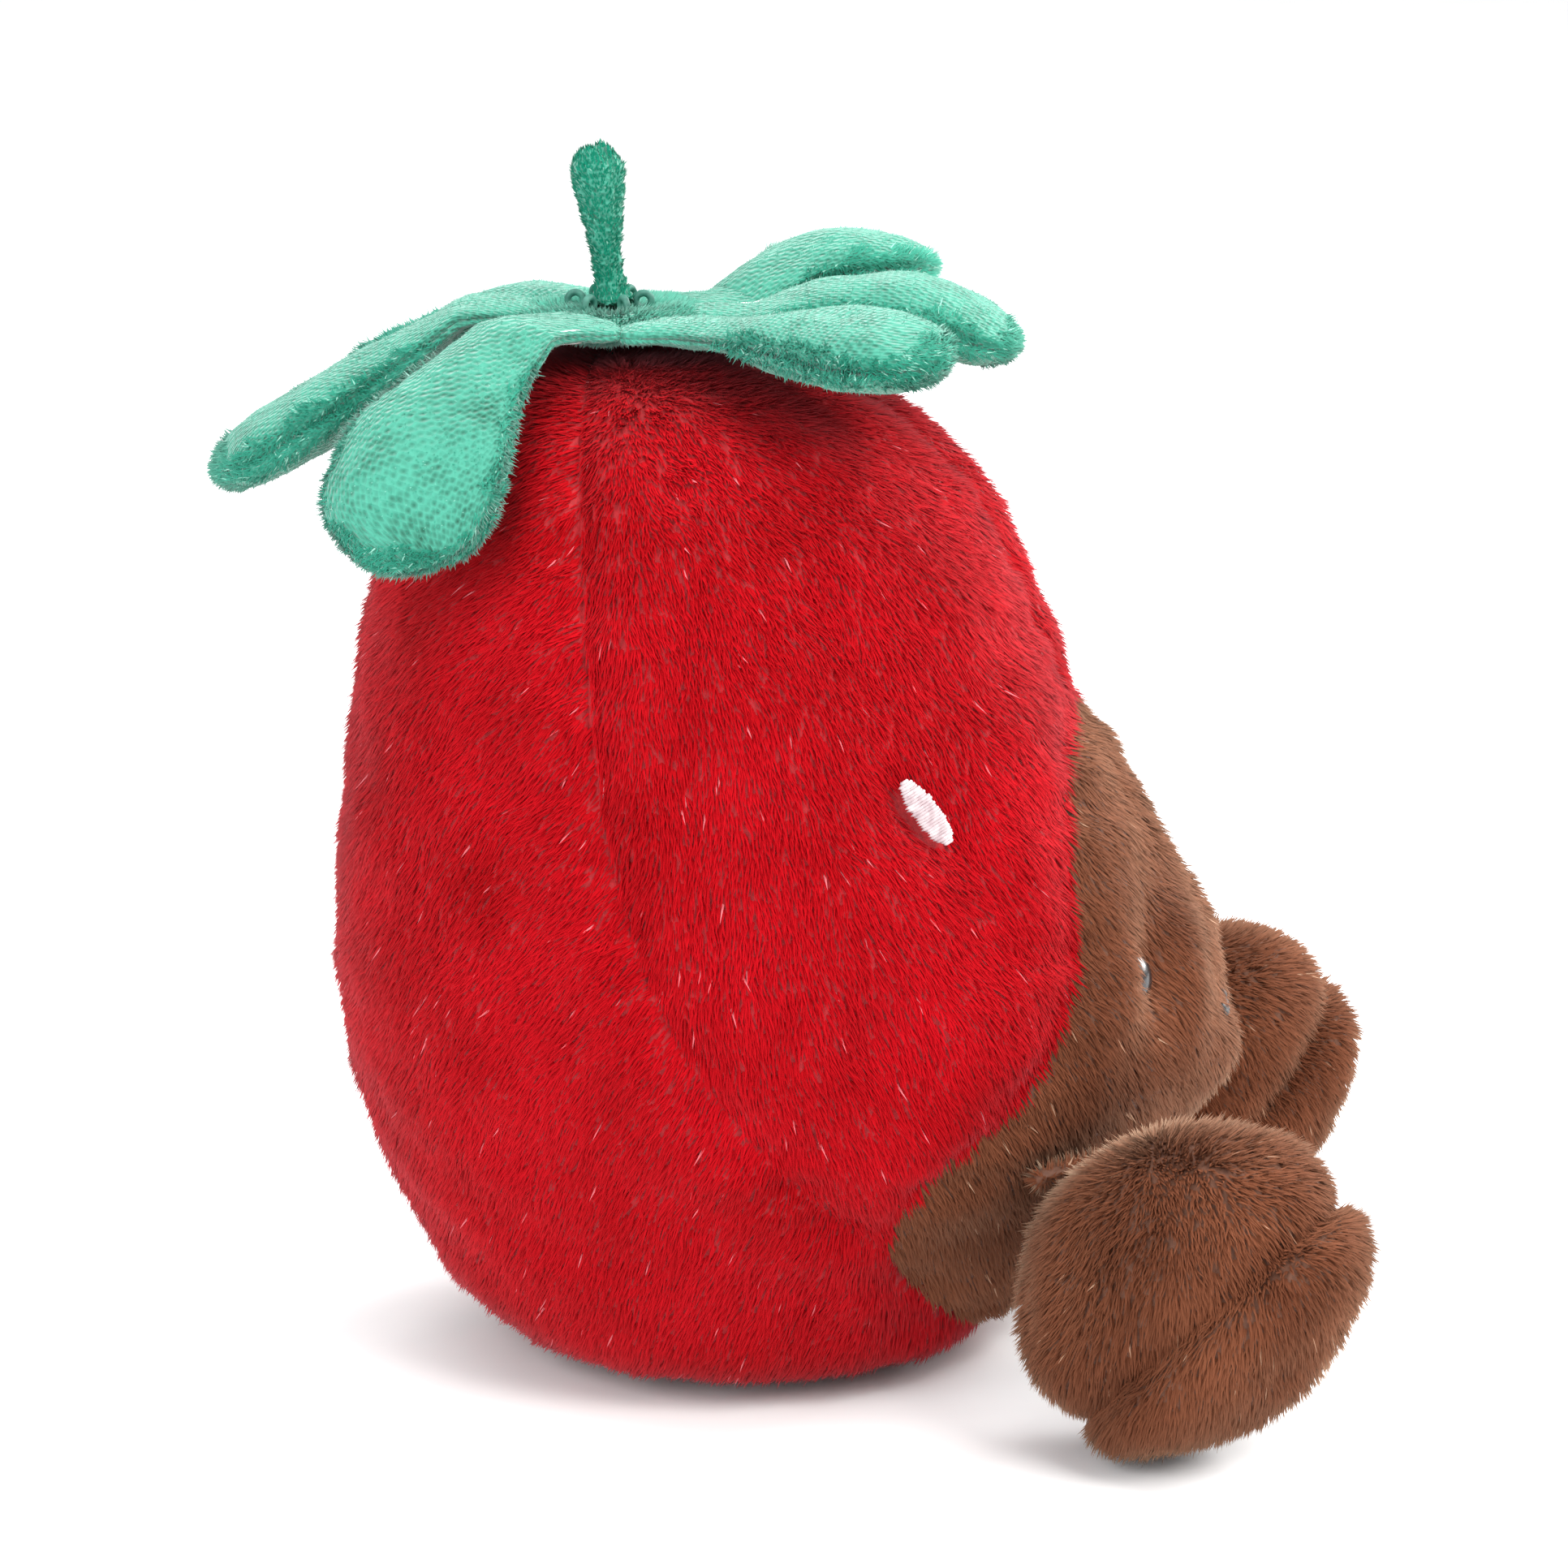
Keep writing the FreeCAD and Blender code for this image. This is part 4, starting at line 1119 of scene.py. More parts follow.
@dataclass
class FaceTrim:
    """The eyes, the stitched mouth and the two satin-stitched seeds."""

    body: Body
    dome: float = 2.3
    sunk: float = 4.1

    def build(self) -> None:
        """Makes every trim piece."""
        gloss, white, black = EYE.make(), WHITE_THREAD.make(), BLACK_THREAD.make()
        for side in Side:
            self.put_eye(side, gloss)
            self.put_seed(side, white)
        self.put_mouth(black)
        self.put_closing(RED_THREAD.make())

    def put_eye(self, side: Side, finish: bpy.types.Material) -> None:
        """A moulded eye: a profile of dome, rounded rim, flat back and shank, spun about its axis.

        Args:
            side: Which eye.
            finish: Its material.
        """
        spot = self.body.form.place(*self.body.eye, side)
        radius = self.body.eye_radius
        bend = np.linspace(0, np.pi / 2, 14)
        outline = [(radius * 0.95 * math.sin(t), self.dome * math.cos(t) * 0.97 + 0.03) for t in bend[:-1]]
        outline += [(radius * 0.97, 0.16), (radius, 0.05), (radius * 0.985, -0.06), (radius * 0.9, -0.1),
                    (1.25, -0.1), (1.1, -0.3), (1.1, -6.2), (1.0, -6.4), (0.0, -6.4)]
        profile = np.array(outline)
        turn = np.arange(48) * 2 * np.pi / 48
        aside = spot.aside
        ring = np.cos(turn)[:, None] * spot.up + np.sin(turn)[:, None] * aside
        rim = spot.at - spot.out * self.sunk
        points = rim + profile[:, 0, None, None] * ring + profile[:, 1, None, None] * spot.out
        surface = Surface(points, points)
        piece = put_mesh(f"{side.word}_eye_button", points.reshape(-1, 3), [surface.quads()], [finish],
                         weld=True)
        seat(piece, "root", f"{side.word}_eye")

    def put_seed(self, side: Side, finish: bpy.types.Material) -> None:
        """A satin-stitched seed: slanted threads side by side, each an arch as wide as the seed there.

        Args:
            side: Which seed.
            finish: Its thread.
        """
        centre, long, short, out = self.body.seed_frame(side)
        width, length = self.body.seed_size
        count = 26
        at = np.linspace(-1, 1, count) * 0.97
        rng = np.random.default_rng(12)
        half = (width / 2 * np.sqrt(1 - at**2) + 0.12) * rng.uniform(0.84, 1.06, count)
        share = np.linspace(-1, 1, 11)
        rise = (0.7 * (1 - np.abs(share) ** 2.4) - 0.25 * bell(share, 0.35))[None, :] * (
            0.5 + 0.5 * np.sqrt(1 - at**2))[:, None] - 0.85 + rng.normal(size=(count, 1)) * 0.06
        paths = (centre + (at * length / 2)[:, None, None] * long
                 + (half[:, None] * share)[..., None] * (short + 0.18 * long)
                 + rise[..., None] * out)
        corners, faces = thread_tube(paths, 0.19, 7)
        piece = put_mesh(f"{side.word}_seed_satin", corners, [faces], [finish], weld=True)
        seat(piece, "root", f"{side.word}_seed_stitch")

    def put_mouth(self, finish: bpy.types.Material) -> None:
        """The mouth: a smiling arc of back stitches, each a short thick thread that dips at its ends.

        Args:
            finish: Its thread.
        """
        spot = self.body.form.place(self.body.mouth_height, 0.0, Side.RIGHT)
        radius = self.body.mouth_radius
        starts = np.radians(np.linspace(-58, 38, 6))
        share = np.linspace(0, 1, 9)
        turn = starts[:, None] + share * math.radians(20)
        middle = spot.at + spot.up * radius / 2
        dip = 0.45 * (np.sin(np.pi * share) ** 0.6) - 2.5
        paths = (middle + radius * np.sin(turn)[..., None] * spot.aside
                 - radius * np.cos(turn)[..., None] * spot.up + dip[None, :, None] * spot.out)
        corners, faces = thread_tube(paths, 0.42, 8)
        piece = put_mesh("mouth_back_stitch", corners, [faces], [finish], weld=True)
        seat(piece, "root", "mouth_stitch")


    def put_closing(self, finish: bpy.types.Material, pulled: float = 2.1) -> None:
        """The ladder stitches that close the left seam: the drawn ones, pulled in under the pile.

        Args:
            finish: Their thread.
            pulled: How far they lie in from where they are drawn.
        """
        drawn = frame["nodes"]["closing_stitches"].data
        points = np.empty(len(drawn.vertices) * 3, np.float32)
        corners = np.empty(len(drawn.loops), np.int32)
        drawn.vertices.foreach_get("co", points)
        drawn.loops.foreach_get("vertex_index", corners)
        points = points.reshape(-1, 3) / MM - np.array([pulled, 0.0, 0.0])
        piece = put_mesh("closing_ladder_stitch", points, [corners.reshape(-1, 3)], [finish], weld=True)
        seat(piece, "root", "closing_stitches")


# ---- the feet -----------------------------------------------------------------------------------
@dataclass
class Foot:
    """A sewn-on foot: two rounded halves that meet at the seam round its sole."""

    side: Side
    across: float = 15.4
    along: float = 19.8
    depth: float = 19.6
    sole_depth: float = 14.0
    faces: tuple[float, float, float] = (0.66, 0.25, -0.70)
    cloth_in: float = 2.1
    cloth: float = 0.6
    stuffing_in: float = 3.0
    rows: int = 72
    columns: int = 96

    def directions(self) -> tuple[Grid, Grid, Grid]:
        """The foot's own three directions.

        Returns:
            Out of the sole, sideways, and up along the seam.
        """
        forward, outward, up = self.faces
        sole = unit(axes(np.array(forward), np.array(outward * self.side.value), np.array(up)))
        sideways = unit(np.cross([0.0, 0.0, 1.0], sole))
        return sole, sideways, np.cross(sole, sideways)

    def shape(self, rows: int, columns: int, taken: float) -> tuple[Grid, Grid]:
        """The foot about its own middle: half-ovals of two depths, from the back's pole to the sole's.

        Args:
            rows: Rows from pole to pole.
            columns: Columns round.
            taken: How far the outline is taken in.

        Returns:
            Points about the middle, and the share of the way towards the sole, from -1 to 1.
        """
        sole, sideways, upward = self.directions()
        polar = np.linspace(0, np.pi, rows)[:, None]
        turn = np.arange(columns)[None, :] * 2 * np.pi / columns
        out = -np.cos(polar) + 0 * turn
        deep = np.where(out < 0, self.depth, self.sole_depth) - taken
        girth = np.sin(polar)
        points = ((out * deep)[..., None] * sole
                  + (girth * np.cos(turn) * (self.across - taken))[..., None] * sideways
                  + (girth * np.sin(turn) * (self.along - taken))[..., None] * upward)
        return points, out

    def middle(self) -> Grid:
        """The foot's middle.

        Returns:
            Where the drawn stuffing's box puts this shape's box, in millimetres.
        """
        low, high = (np.array(corner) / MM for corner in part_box(f"{self.side.word}_foot_stuffing"))
        points = self.shape(121, 160, self.stuffing_in)[0].reshape(-1, 3)
        return (low + high) / 2 - (points.min(0) + points.max(0)) / 2

    def build(self, brown: bpy.types.Material, shades: list[bpy.types.Material],
              fill: bpy.types.Material) -> None:
        """Makes the cloth halves, the pile and the stuffing.

        Args:
            brown: Backing cloth.
            shades: Pile shades.
            fill: Stuffing.
        """
        word, centre = self.side.word, self.middle()
        body = f"{word}_foot"
        coarse, out = self.shape(36, 48, self.cloth_in)
        held = bell(out, 0.13)
        moved = Stuffing(pressure=3.0, most=0.9).fill_out(Surface(coarse + centre, coarse), held)
        shape, out = self.shape(self.rows, self.columns, self.cloth_in)
        sole, sideways, upward = self.directions()
        weave = np.stack([shape @ sideways, shape @ upward, out * 10], -1)
        surface = Surface(shape + centre + spread(moved, self.rows, self.columns), weave)
        seam = np.abs(out)
        lift = -1.8 * bell(out - 0.06, 0.14) + 0.35 * bell(seam - 0.4, 0.22)
        lift = lift - 0.3 * bell(out - 1.0, 0.35)
        lift = lift + 0.5 * ripple(surface.points, 16.0, 31) + 0.2 * ripple(surface.points, 7.0, 32)
        surface = surface.pushed(lift)
        surface.points[..., 2] = np.maximum(surface.points[..., 2], 1.2)
        points, normals = surface.points.reshape(-1, 3), surface.normals().reshape(-1, 3)
        quads = surface.quads()
        toward = ((points[quads].mean(1) - centre) @ sole) > 0
        for part, chosen in (("upper", ~toward), ("sole", toward)):
            piece = put_cloth(f"{word}_foot_{part}_cloth", surface, chosen, self.cloth, brown)
            seat(piece, body, f"{word}_foot_{part}")

        def comb(places: Grid, outward: Grid) -> Grid:
            """Down the foot, and on the sole outwards from its middle."""
            away = places - centre
            return np.array([0, 0, -1.0]) + 0.05 * (away - (away @ sole)[:, None] * sole) + 0.25 * sole

        self.put_ankle(brown, shades)
        pile = Pile(2.15, 0.19, 8.6, 0.56, 41 if self.side is Side.RIGHT else 43)
        tufts = pile.grow(points, normals, quads, comb,
                          lambda places: np.clip(0.4 + places[:, 2] / 5.0, 0.4, 1.0))
        piece = put_pile(f"{word}_foot_pile", tufts, shades)
        seat(piece, body)
        inner = surface.pushed(np.full(surface.points.shape[:2], -self.cloth - 0.25))
        stuffing = put_mesh(f"{word}_foot_filling", inner.points.reshape(-1, 3), [inner.quads()], [fill],
                            weave=inner.points.reshape(-1, 3), weld=True)
        seat(stuffing, body, f"{word}_foot_stuffing")
        log.info("%s foot: %d tufts", word, len(tufts.tone))

    def put_ankle(self, brown: bpy.types.Material, shades: list[bpy.types.Material]) -> None:
        """The rolled seam that the foot hangs on: a round bar along the hinge, with pile on it.

        Args:
            brown: Backing cloth.
            shades: Pile shades.
        """
        joint = next(j for j in frame["joints"] if j["child"] == f"{self.side.word}_foot")
        pivot, axis = np.array(joint["pos_m"], float) / MM, unit(np.array(joint["axis"], float))
        along = np.linspace(-4.5, 4.5, 24)
        size = 0.9 * np.sqrt(np.clip(1 - np.abs(along / 4.5) ** 8, 0, 1))
        turn = np.arange(18) * 2 * np.pi / 18
        side = unit(np.cross(axis, [0.0, 0.0, 1.0]))
        ring = np.cos(turn)[:, None] * side + np.sin(turn)[:, None] * np.cross(axis, side)
        points = pivot + along[:, None, None] * axis + size[:, None, None] * ring
        bar = Surface(points, points)
        flat, normals, quads = points.reshape(-1, 3), bar.normals().reshape(-1, 3), bar.quads()
        roll = put_mesh(f"{self.side.word}_ankle_roll", flat, [quads], [brown], weave=flat, weld=True)
        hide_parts(f"{self.side.word}_ankle_seam")
        tufts = Pile(1.3, 0.16, 8.0, 0.3, 47).grow(flat, normals, quads, lambda places, out: -out + side)
        for piece in (roll, put_pile(f"{self.side.word}_ankle_pile", tufts, shades)):
            seat(piece, "root")


# ---- the leaf cap -------------------------------------------------------------------------------
@dataclass
class Leaf:
    """A stuffed leaf on its hinge: its length, fullness, slopes and roll in degrees.

    The gap is how far its root spreads to one side, to meet the next leaf's.
    """

    name: str
    length: float
    full: float
    root_slope: float
    tip_slope: float
    roll: float
    gap: float = 0.0
    wide: float = 16.6
    thick: float = 8.0
    root_thick: float = 3.1
    inward: float = 10.0
    cloth: float = 0.45
    pile_room: float = 0.55
    rows: int = 84
    columns: int = 72

    def joint(self) -> dict:
        """The leaf's hinge."""
        return next(j for j in frame["joints"] if j["child"] == self.name)

    def build(self, cap: "LeafCap") -> None:
        """Makes the leaf's two cloths, its pile and its wadding, and joins them to the cap's middle.

        Args:
            cap: The cap, with the finishes and the middle.
        """
        hinge = np.array(self.joint()["pos_m"], float) / MM
        ahead = unit((hinge - cap.middle) * np.array([1, 1, 0]))
        half = self.columns // 2
        surface, edge = self.surface(hinge, ahead, self.rows, self.columns, self.pile_room)
        coarse, _ = self.surface(hinge, ahead, self.rows // 2, half, self.pile_room)
        held = np.tile(np.abs(np.cos(np.arange(half) * 2 * np.pi / half)) ** 6, (self.rows // 2, 1))
        held[:10] = 1.0
        moved = Stuffing(pressure=5.0, most=0.7, steps=12).fill_out(coarse, held)
        surface = Surface(surface.points + spread(moved, self.rows, self.columns), surface.weave)
        lumps = 0.22 * ripple(surface.points, 9.0, 51) + 0.10 * ripple(surface.points, 3.5, 52)
        surface = surface.pushed(lumps)
        points, normals = surface.points.reshape(-1, 3), surface.normals().reshape(-1, 3)
        quads = surface.quads()
        first, last = (quads % self.columns).min(1), (quads % self.columns).max(1)
        over = (first < half) & (last - first < half) | (first == 0) & (last == 1)
        pieces = []
        for part, chosen in (("upper", over), ("lower", ~over)):
            piece = put_cloth(f"{self.name}_{part}_cloth", surface, chosen, self.cloth, cap.cloth_finish)
            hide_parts(f"{self.name}_{part}")
            pieces.append(piece)

        def comb(places: Grid, outward: Grid) -> Grid:
            """Along the leaf to its tip."""
            return ahead + np.array([0, 0, -0.3]) + 0 * places

        short = Pile(0.34, 0.09, 4.0, 0.75, 61 + len(self.name), unruly=0.3, clump=0.4, glints=0.05)
        long = Pile(0.95, 0.13, 17.0, 0.50, 71 + len(self.name), unruly=0.30, clump=0.45, glints=0.05)
        centres = points[quads].mean(1)
        wander = 0.16 * ripple(centres, 5.0, 55) + 0.10 * ripple(centres, 1.6, 56)
        fuzzy = edge.reshape(-1)[quads].mean(1) + wander > 0.66
        for word, pile, chosen in (("nap", short, ~fuzzy), ("edge_pile", long, fuzzy)):
            tufts = pile.grow(points, normals, quads[chosen], comb)
            pieces.append(put_pile(f"{self.name}_{word}", tufts, cap.shades))
        inner = surface.pushed(np.full(surface.points.shape[:2], -self.cloth - 0.15))
        inner = Surface(inner.points[4::2, ::2], inner.weave[4::2, ::2])
        inner.points[0] = inner.points[0].mean(0)
        wadding = put_mesh(f"{self.name}_filling", inner.points.reshape(-1, 3), [inner.quads()],
                           [cap.fill_finish], weave=inner.points.reshape(-1, 3), weld=True)
        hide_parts(f"{self.name}_wadding")
        for piece in (*pieces, wadding):
            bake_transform(piece)
        log.info("%s: %d pieces", self.name, len(pieces) + 1)

    def surface(self, hinge: Grid, ahead: Grid, rows: int, columns: int,
                taken: float) -> tuple[Surface, Grid]:
        """The leaf as a grid: plump ovals across a spine that bends evenly downwards.

        A row's oval is a rounded lens pulled in at its two edges, where the seam is, and the rows
        shrink to a blunt round tip.

        Args:
            hinge: The hinge's place.
            ahead: The direction that the leaf points in.
            rows: Rows from the cap's middle to the tip.
            columns: Columns round.
            taken: How far the outline is taken in, for the pile.

        Returns:
            The surface, and how near each point is to an edge or the tip, from 0 to 1.
        """
        up = np.array([0.0, 0.0, 1.0])
        aside = np.cross(up, ahead) * -1.0
        fine = np.linspace(-self.inward, self.length, 800)
        share = np.clip(fine / self.length, 0, 1)
        slope = np.radians(self.root_slope + (self.tip_slope - self.root_slope) * share)
        flatten = 0.5 * np.clip(1 + fine / 3, 0, 1) ** 2
        slope = np.where(fine < 0, np.radians(self.root_slope) * flatten, slope)
        step = np.diff(fine, prepend=fine[0])[:, None] * (ahead * np.cos(slope)[:, None]
                                                         + up * np.sin(slope)[:, None])
        path = np.cumsum(step, axis=0)
        zero = np.searchsorted(fine, 0.0)
        path = path - path[zero] + hinge - up * self.root_thick / 2
        ease = np.linspace(0, 1, rows)
        along = -self.inward + (self.length + self.inward) * (1 - (1 - ease) ** 1.35)
        spine = np.stack([np.interp(along, fine, path[:, k]) for k in range(3)], -1)
        tilt = np.interp(along, fine, slope)
        roll = np.radians(self.roll) * np.sin(np.pi / 2 * np.clip(along / self.length, 0, 1))
        plain = up * np.cos(tilt)[:, None] - ahead * np.sin(tilt)[:, None]
        across = aside * np.cos(roll)[:, None] - plain * np.sin(roll)[:, None]
        above = plain * np.cos(roll)[:, None] + aside * np.sin(roll)[:, None]
        where = along / self.length
        table = np.array([(-0.40, 6.0, 2.4), (-0.2, 9.0, 3.0), (0.0, 11.6, 3.6), (0.14, 12.2, 4.6),
                          (0.32, 13.6, 6.2), (0.52, 15.9, 7.7), (0.72, self.wide, self.thick),
                          (0.88, 14.6, 7.0), (1.0, 11.6, 5.2)])
        sizes = smooth_rows(table, where)
        sizes[:, 0] *= 1 + (self.full - 1) * np.clip(where * 2, 0, 1)
        end = np.clip((where - 0.80) / 0.20, 0, 1)
        blunt = np.sqrt(np.clip(1 - end**2.6, 0, 1))
        half = (sizes[:, 0] / 2 - taken) * blunt
        tall = (sizes[:, 1] / 2 - taken * np.clip(sizes[:, 1] / 5, 0.3, 1)) * blunt ** 0.8
        half[0] = tall[0] = 0.0
        turn = np.arange(columns) * 2 * np.pi / columns
        wide = np.sign(np.cos(turn)) * np.abs(np.cos(turn)) ** 0.86
        high = np.sign(np.sin(turn)) * np.abs(np.sin(turn)) ** 0.92
        groove = 1 - 0.09 * bell(np.sin(turn), 0.17)
        gap = np.where(np.sign(wide) == np.sign(self.gap), abs(self.gap), 0.0)
        gap = gap * bell(along + 6.4, 3.6)[:, None]
        gap[0] = 0.0
        points = (spine[:, None] + (half[:, None] * wide * groove + gap * wide)[..., None] * across[:, None]
                  + (tall[:, None] * high)[..., None] * above[:, None])
        weave = np.stack(np.broadcast_arrays(along[:, None], half[:, None] * turn, 0.0), -1)
        edge = np.maximum(np.abs(np.cos(turn))[None, :] ** 3, np.clip((where[:, None] - 0.78) / 0.2, 0, 1))
        return Surface(points, weave), edge * np.clip(where[:, None] * 3 + 0.4, 0, 1)


@dataclass
class LeafCap:
    """The cap's middle, its six leaves and its stem."""

    leaves: tuple[Leaf, ...] = (
        Leaf("leaf_front", 26.6, 1.00, 18.0, -32.0, 0.0),
        Leaf("leaf_front_right", 26.5, 1.00, 4.0, -4.0, 4.0, 4.7),
        Leaf("leaf_front_left", 22.6, 1.00, 28.0, -24.0, -4.0, -4.7),
        Leaf("leaf_back", 30.0, 1.00, -38.0, -30.0, 0.0),
        Leaf("leaf_back_right", 28.5, 1.14, -28.0, -62.0, -20.0, -4.7),
        Leaf("leaf_back_left", 29.5, 1.00, -28.0, -42.0, 8.0, 3.5))
    cloth_finish: bpy.types.Material = field(default_factory=GREEN_CLOTH.make)
    shades: list = field(default_factory=LEAF_PILE.make)
    stem_shades: list = field(default_factory=STEM_PILE.make)
    fill_finish: bpy.types.Material = field(default_factory=FILL.make)
    middle: Grid = field(init=False)
    low: Grid = field(init=False)
    high: Grid = field(init=False)

    def __post_init__(self) -> None:
        """Finds the cap's middle from the drawn pieces."""
        lower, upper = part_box("cap_centre_lower"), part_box("cap_centre_upper")
        self.low, self.high = np.array(lower[0]) / MM, np.array(upper[1]) / MM
        self.middle = (self.low + self.high) / 2

    def build(self) -> None:
        """Makes the middle, the leaves and the stem."""
        self.put_middle()
        for leaf in self.leaves:
            leaf.build(self)
        self.put_stem()

    def put_middle(self) -> None:
        """The middle: a soft disc whose top dips to the stem, in two layers with a seam round its rim.

        A row's height and reach follow a flattened oval.
        """
        radius = (self.high[0] - self.low[0]) / 2 - 4.2
        tall = (self.high[2] - self.low[2]) / 2
        polar = np.linspace(0, np.pi, 40)[:, None]
        turn = np.arange(96)[None, :] * 2 * np.pi / 96
        reach = np.sin(polar) ** 0.6 * radius
        lift = np.sign(np.cos(polar)) * np.abs(np.cos(polar)) ** 0.5 * tall
        lift = lift - 0.5 * bell(reach, 4.0) * (polar < np.pi / 2)
        points = self.middle + np.stack(np.broadcast_arrays(
            reach * np.cos(turn), reach * np.sin(turn), lift), -1)
        surface = Surface(points, np.stack(np.broadcast_arrays(
            reach * np.cos(turn), reach * np.sin(turn), 0.0), -1))
        surface = surface.pushed(-0.3 + 0.12 * ripple(points, 4.0, 81))
        flat, normals = surface.points.reshape(-1, 3), surface.normals().reshape(-1, 3)
        quads = surface.quads()
        over = flat[quads].mean(1)[:, 2] > self.middle[2]
        for part, chosen in (("upper", over), ("lower", ~over)):
            piece = put_cloth(f"cap_middle_{part}_cloth", surface, chosen, 1.0, self.cloth_finish)
            seat(piece, "root", f"cap_centre_{part}")
        pile = Pile(0.8, 0.15, 14.0, 0.6, 83, unruly=0.2)
        tufts = pile.grow(flat, normals, quads, lambda places, out: places - self.middle)
        nap = put_pile("cap_middle_nap", tufts, self.shades)
        seat(nap, "root")

    def put_stem(self) -> None:
        """The stem: a flared sleeve with a seam up two sides and a notched round top.

        Each row is a circle about a leaning axis, pulled in at the two seams, and the top dome has
        a valley across it from seam to seam.
        """
        joint = next(j for j in frame["joints"] if j["child"] == "stem")
        pivot = np.array(joint["pos_m"], float) / MM
        lean = math.radians(5.7)
        axis = np.array([0.0, math.sin(lean), math.cos(lean)])
        table = np.array([(-2.3, 2.6), (-1.4, 2.0), (0.0, 1.55), (3.0, 1.6), (6.5, 2.1), (9.5, 2.6),
                          (11.3, 2.75), (12.6, 2.45)])
        rows = 70
        along = np.linspace(-2.3, 13.9, rows)
        dome = np.clip((along - 10.9) / 3.0, 0, 1)
        radius = smooth_rows(table, along)[:, 0] * np.sqrt(np.clip(1 - dome ** 2.4, 0, 1))
        turn = np.arange(56) * 2 * np.pi / 56
        size = radius[:, None] * (1 - 0.11 * bell(np.abs(np.sin(turn)), 0.22))[None, :] - 0.15
        size = np.maximum(size, 0)
        size[0] = size[-1] = 0
        across = np.array([math.sin(0.6), math.cos(0.6), 0.0])
        other = unit(np.cross(axis, across))
        across = np.cross(other, axis)
        offset = size[..., None] * (np.cos(turn)[:, None] * across + np.sin(turn)[:, None] * other)
        valley = -1.1 * bell(offset @ other, 0.7) * np.clip((along - 10.6) / 2.5, 0, 1)[:, None]
        points = pivot + (along[:, None] + valley)[..., None] * axis + offset
        weave = np.stack(np.broadcast_arrays(along[:, None], radius[:, None] * turn, 0.0), -1)
        surface = Surface(points, weave).pushed(0.12 * ripple(points, 2.4, 91))
        flat, normals = surface.points.reshape(-1, 3), surface.normals().reshape(-1, 3)
        quads = surface.quads()
        sleeve = put_cloth("stem_cloth", surface, np.full(len(quads), True), 0.5, self.cloth_finish)
        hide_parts("stem_sleeve")
        within = np.clip(along, -1.6, 12.2)[:, None, None] * axis + offset * 0.6
        inner = Surface(pivot + within, surface.weave)
        core = put_mesh("stem_filling", inner.points.reshape(-1, 3), [inner.quads()], [self.fill_finish],
                        weave=inner.points.reshape(-1, 3), weld=True)
        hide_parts("stem_wadding")
        pile = Pile(0.7, 0.14, 18.0, 0.66, 93, unruly=0.15, glints=0.02)
        nap = put_pile("stem_nap", pile.grow(flat, normals, quads, lambda places, out: axis + 0 * places),
                       self.stem_shades)
        for piece in (sleeve, core, nap):
            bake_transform(piece)


# ---- what stays as drawn ------------------------------------------------------------------------
class Drawn(Enum):
    """The finish of each kind of drawn piece that stays: its name's words, and its finish."""

    POUCH = ("pellet_pouch", POUCH)
    PELLETS = ("weight_pellets", PELLET)
    WASHERS = ("washer", WASHER)
    TACKS = ("cap_tack", GREEN_THREAD)

    def dress(self) -> None:
        """Gives the finish to every drawn piece whose name holds the words."""
        words, finish = self.value
        made = finish.make()
        for name, piece in frame["nodes"].items():
            if words in name:
                piece.data.materials.clear()
                piece.data.materials.append(made)
                log.info("dressed %s", name)


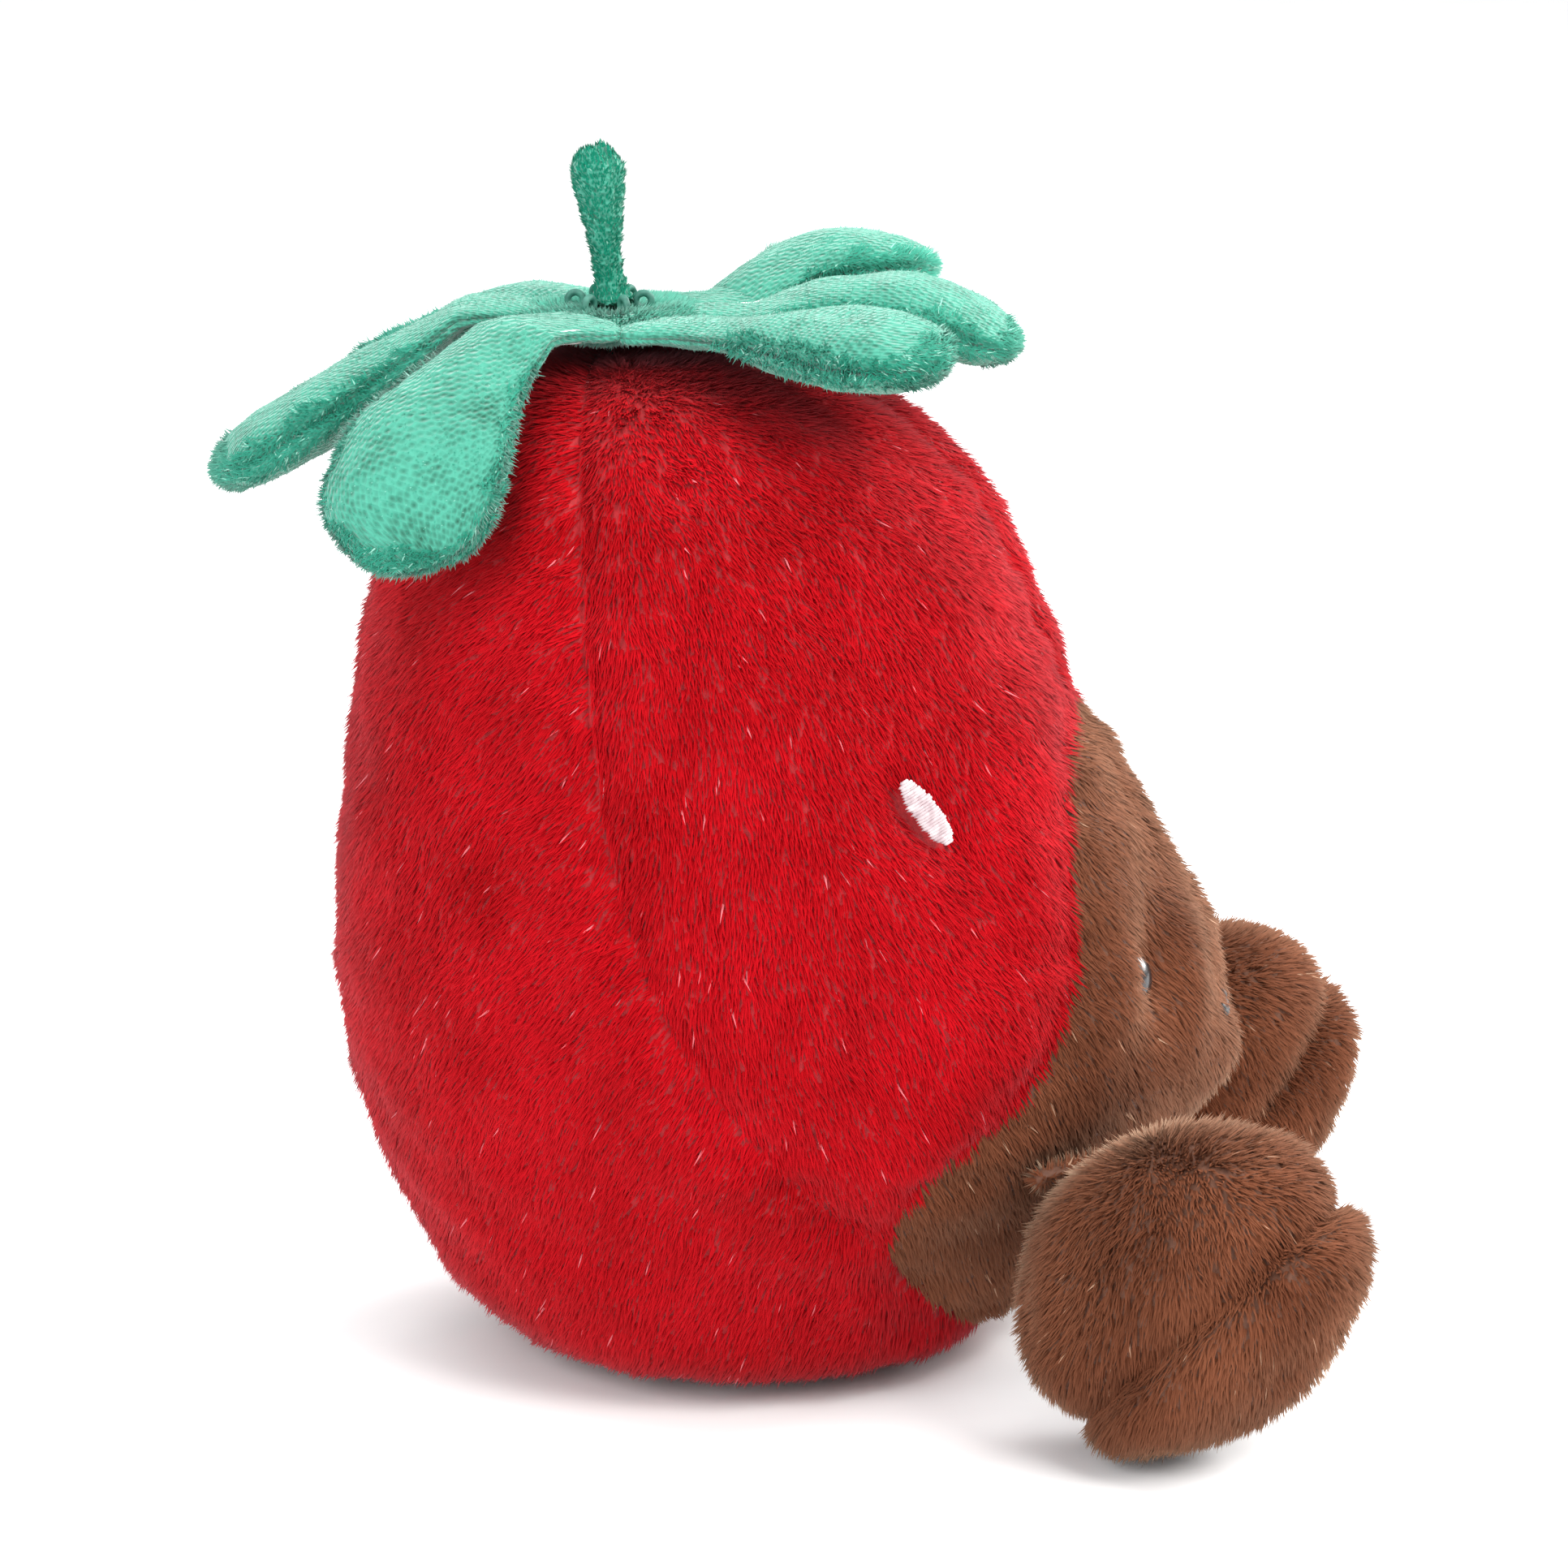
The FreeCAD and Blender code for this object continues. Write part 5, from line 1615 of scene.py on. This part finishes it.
# ---- the studio ---------------------------------------------------------------------------------
@dataclass
class Studio:
    """A pale flat floor, soft lamps, and the camera."""

    aim: tuple[float, float, float] = (0.0, -7.9, 58.5)
    distance: float = 600.0
    azimuth: float = -86.0
    elevation: float = 15.0
    lens: float = 135.8

    def build(self) -> None:
        """Makes the floor, the lamps, the sky and the camera."""
        self.put_floor()
        self.put_lamp("key", (-420, -520, 620), 420, 5.8, (1.0, 0.985, 0.96))
        self.put_lamp("fill", (-640, 420, 420), 520, 4.0, (0.96, 0.98, 1.0))
        self.put_lamp("top", (40, 60, 760), 520, 3.4, (1.0, 1.0, 1.0))
        self.put_lamp("rim", (420, -560, 360), 420, 6.6, (1.0, 1.0, 1.0))
        bpy.context.scene.view_settings.view_transform = "Standard"
        world = bpy.data.worlds.new("studio_sky")
        world.use_nodes = True
        sky = world.node_tree.nodes["Background"]
        sky.inputs["Color"].default_value = (1.0, 1.0, 1.0, 1)
        sky.inputs["Strength"].default_value = 0.88
        bpy.context.scene.world = world
        turn, rise = math.radians(self.azimuth), math.radians(self.elevation)
        away = Vector((math.sin(turn) * math.cos(rise), -math.cos(turn) * math.cos(rise), math.sin(rise)))
        lens = bpy.data.cameras.new("camera")
        lens.lens = self.lens
        lens.sensor_width = 36.0
        lens.clip_start = 0.01
        camera = bpy.data.objects.new("camera", lens)
        camera.location = (Vector(self.aim) + away * self.distance) * MM
        camera.rotation_euler = (-away).to_track_quat("-Z", "Y").to_euler()
        bpy.context.scene.collection.objects.link(camera)
        bpy.context.scene.camera = camera

    def put_lamp(self, name: str, place: tuple[float, float, float], size: float, power: float,
                 colour: tuple[float, float, float]) -> None:
        """A square soft lamp that faces the toy.

        Args:
            name: Its name.
            place: Where it hangs.
            size: Its side.
            power: Its power in watts.
            colour: Its colour.
        """
        light = bpy.data.lights.new(name, "AREA")
        light.size, light.energy, light.color = size * MM, power, colour
        lamp = bpy.data.objects.new(name, light)
        lamp.location = Vector(place) * MM
        lamp.rotation_euler = (Vector((0, 0, 50)) - Vector(place)).to_track_quat("-Z", "Y").to_euler()
        bpy.context.scene.collection.objects.link(lamp)

    def put_floor(self) -> None:
        """A wide floor just under the toy."""
        reach = 4000.0
        grid = np.stack(np.meshgrid(np.linspace(-reach, reach, 9), np.linspace(-reach, reach, 9)), -1)
        points = np.concatenate([grid, np.zeros((9, 9, 1))], -1).reshape(-1, 3)
        n = np.arange(81).reshape(9, 9)
        quads = np.stack([n[:-1, :-1], n[:-1, 1:], n[1:, 1:], n[1:, :-1]], -1).reshape(-1, 4)
        paper = MouldedFinish("floor_paper", (0.90, 0.90, 0.90), (0.93, 0.93, 0.93), grain=60.0, rough=0.9,
                              bump=0.02)
        put_mesh("floor", points, [quads], [paper.make()])


def main() -> None:
    """Builds every sub-assembly."""
    logging.basicConfig(level=logging.INFO, format="%(name)s: %(message)s")
    Studio().build()
    body = Body()
    body.build()
    FaceTrim(body).build()
    brown, shades, fill = BROWN_CLOTH.make(), BROWN_PILE.make(), FILL.make()
    for side in Side:
        Foot(side).build(brown, shades, fill)
    LeafCap().build()
    for kind in Drawn:
        kind.dress()


if __name__ == "__main__":
    main()
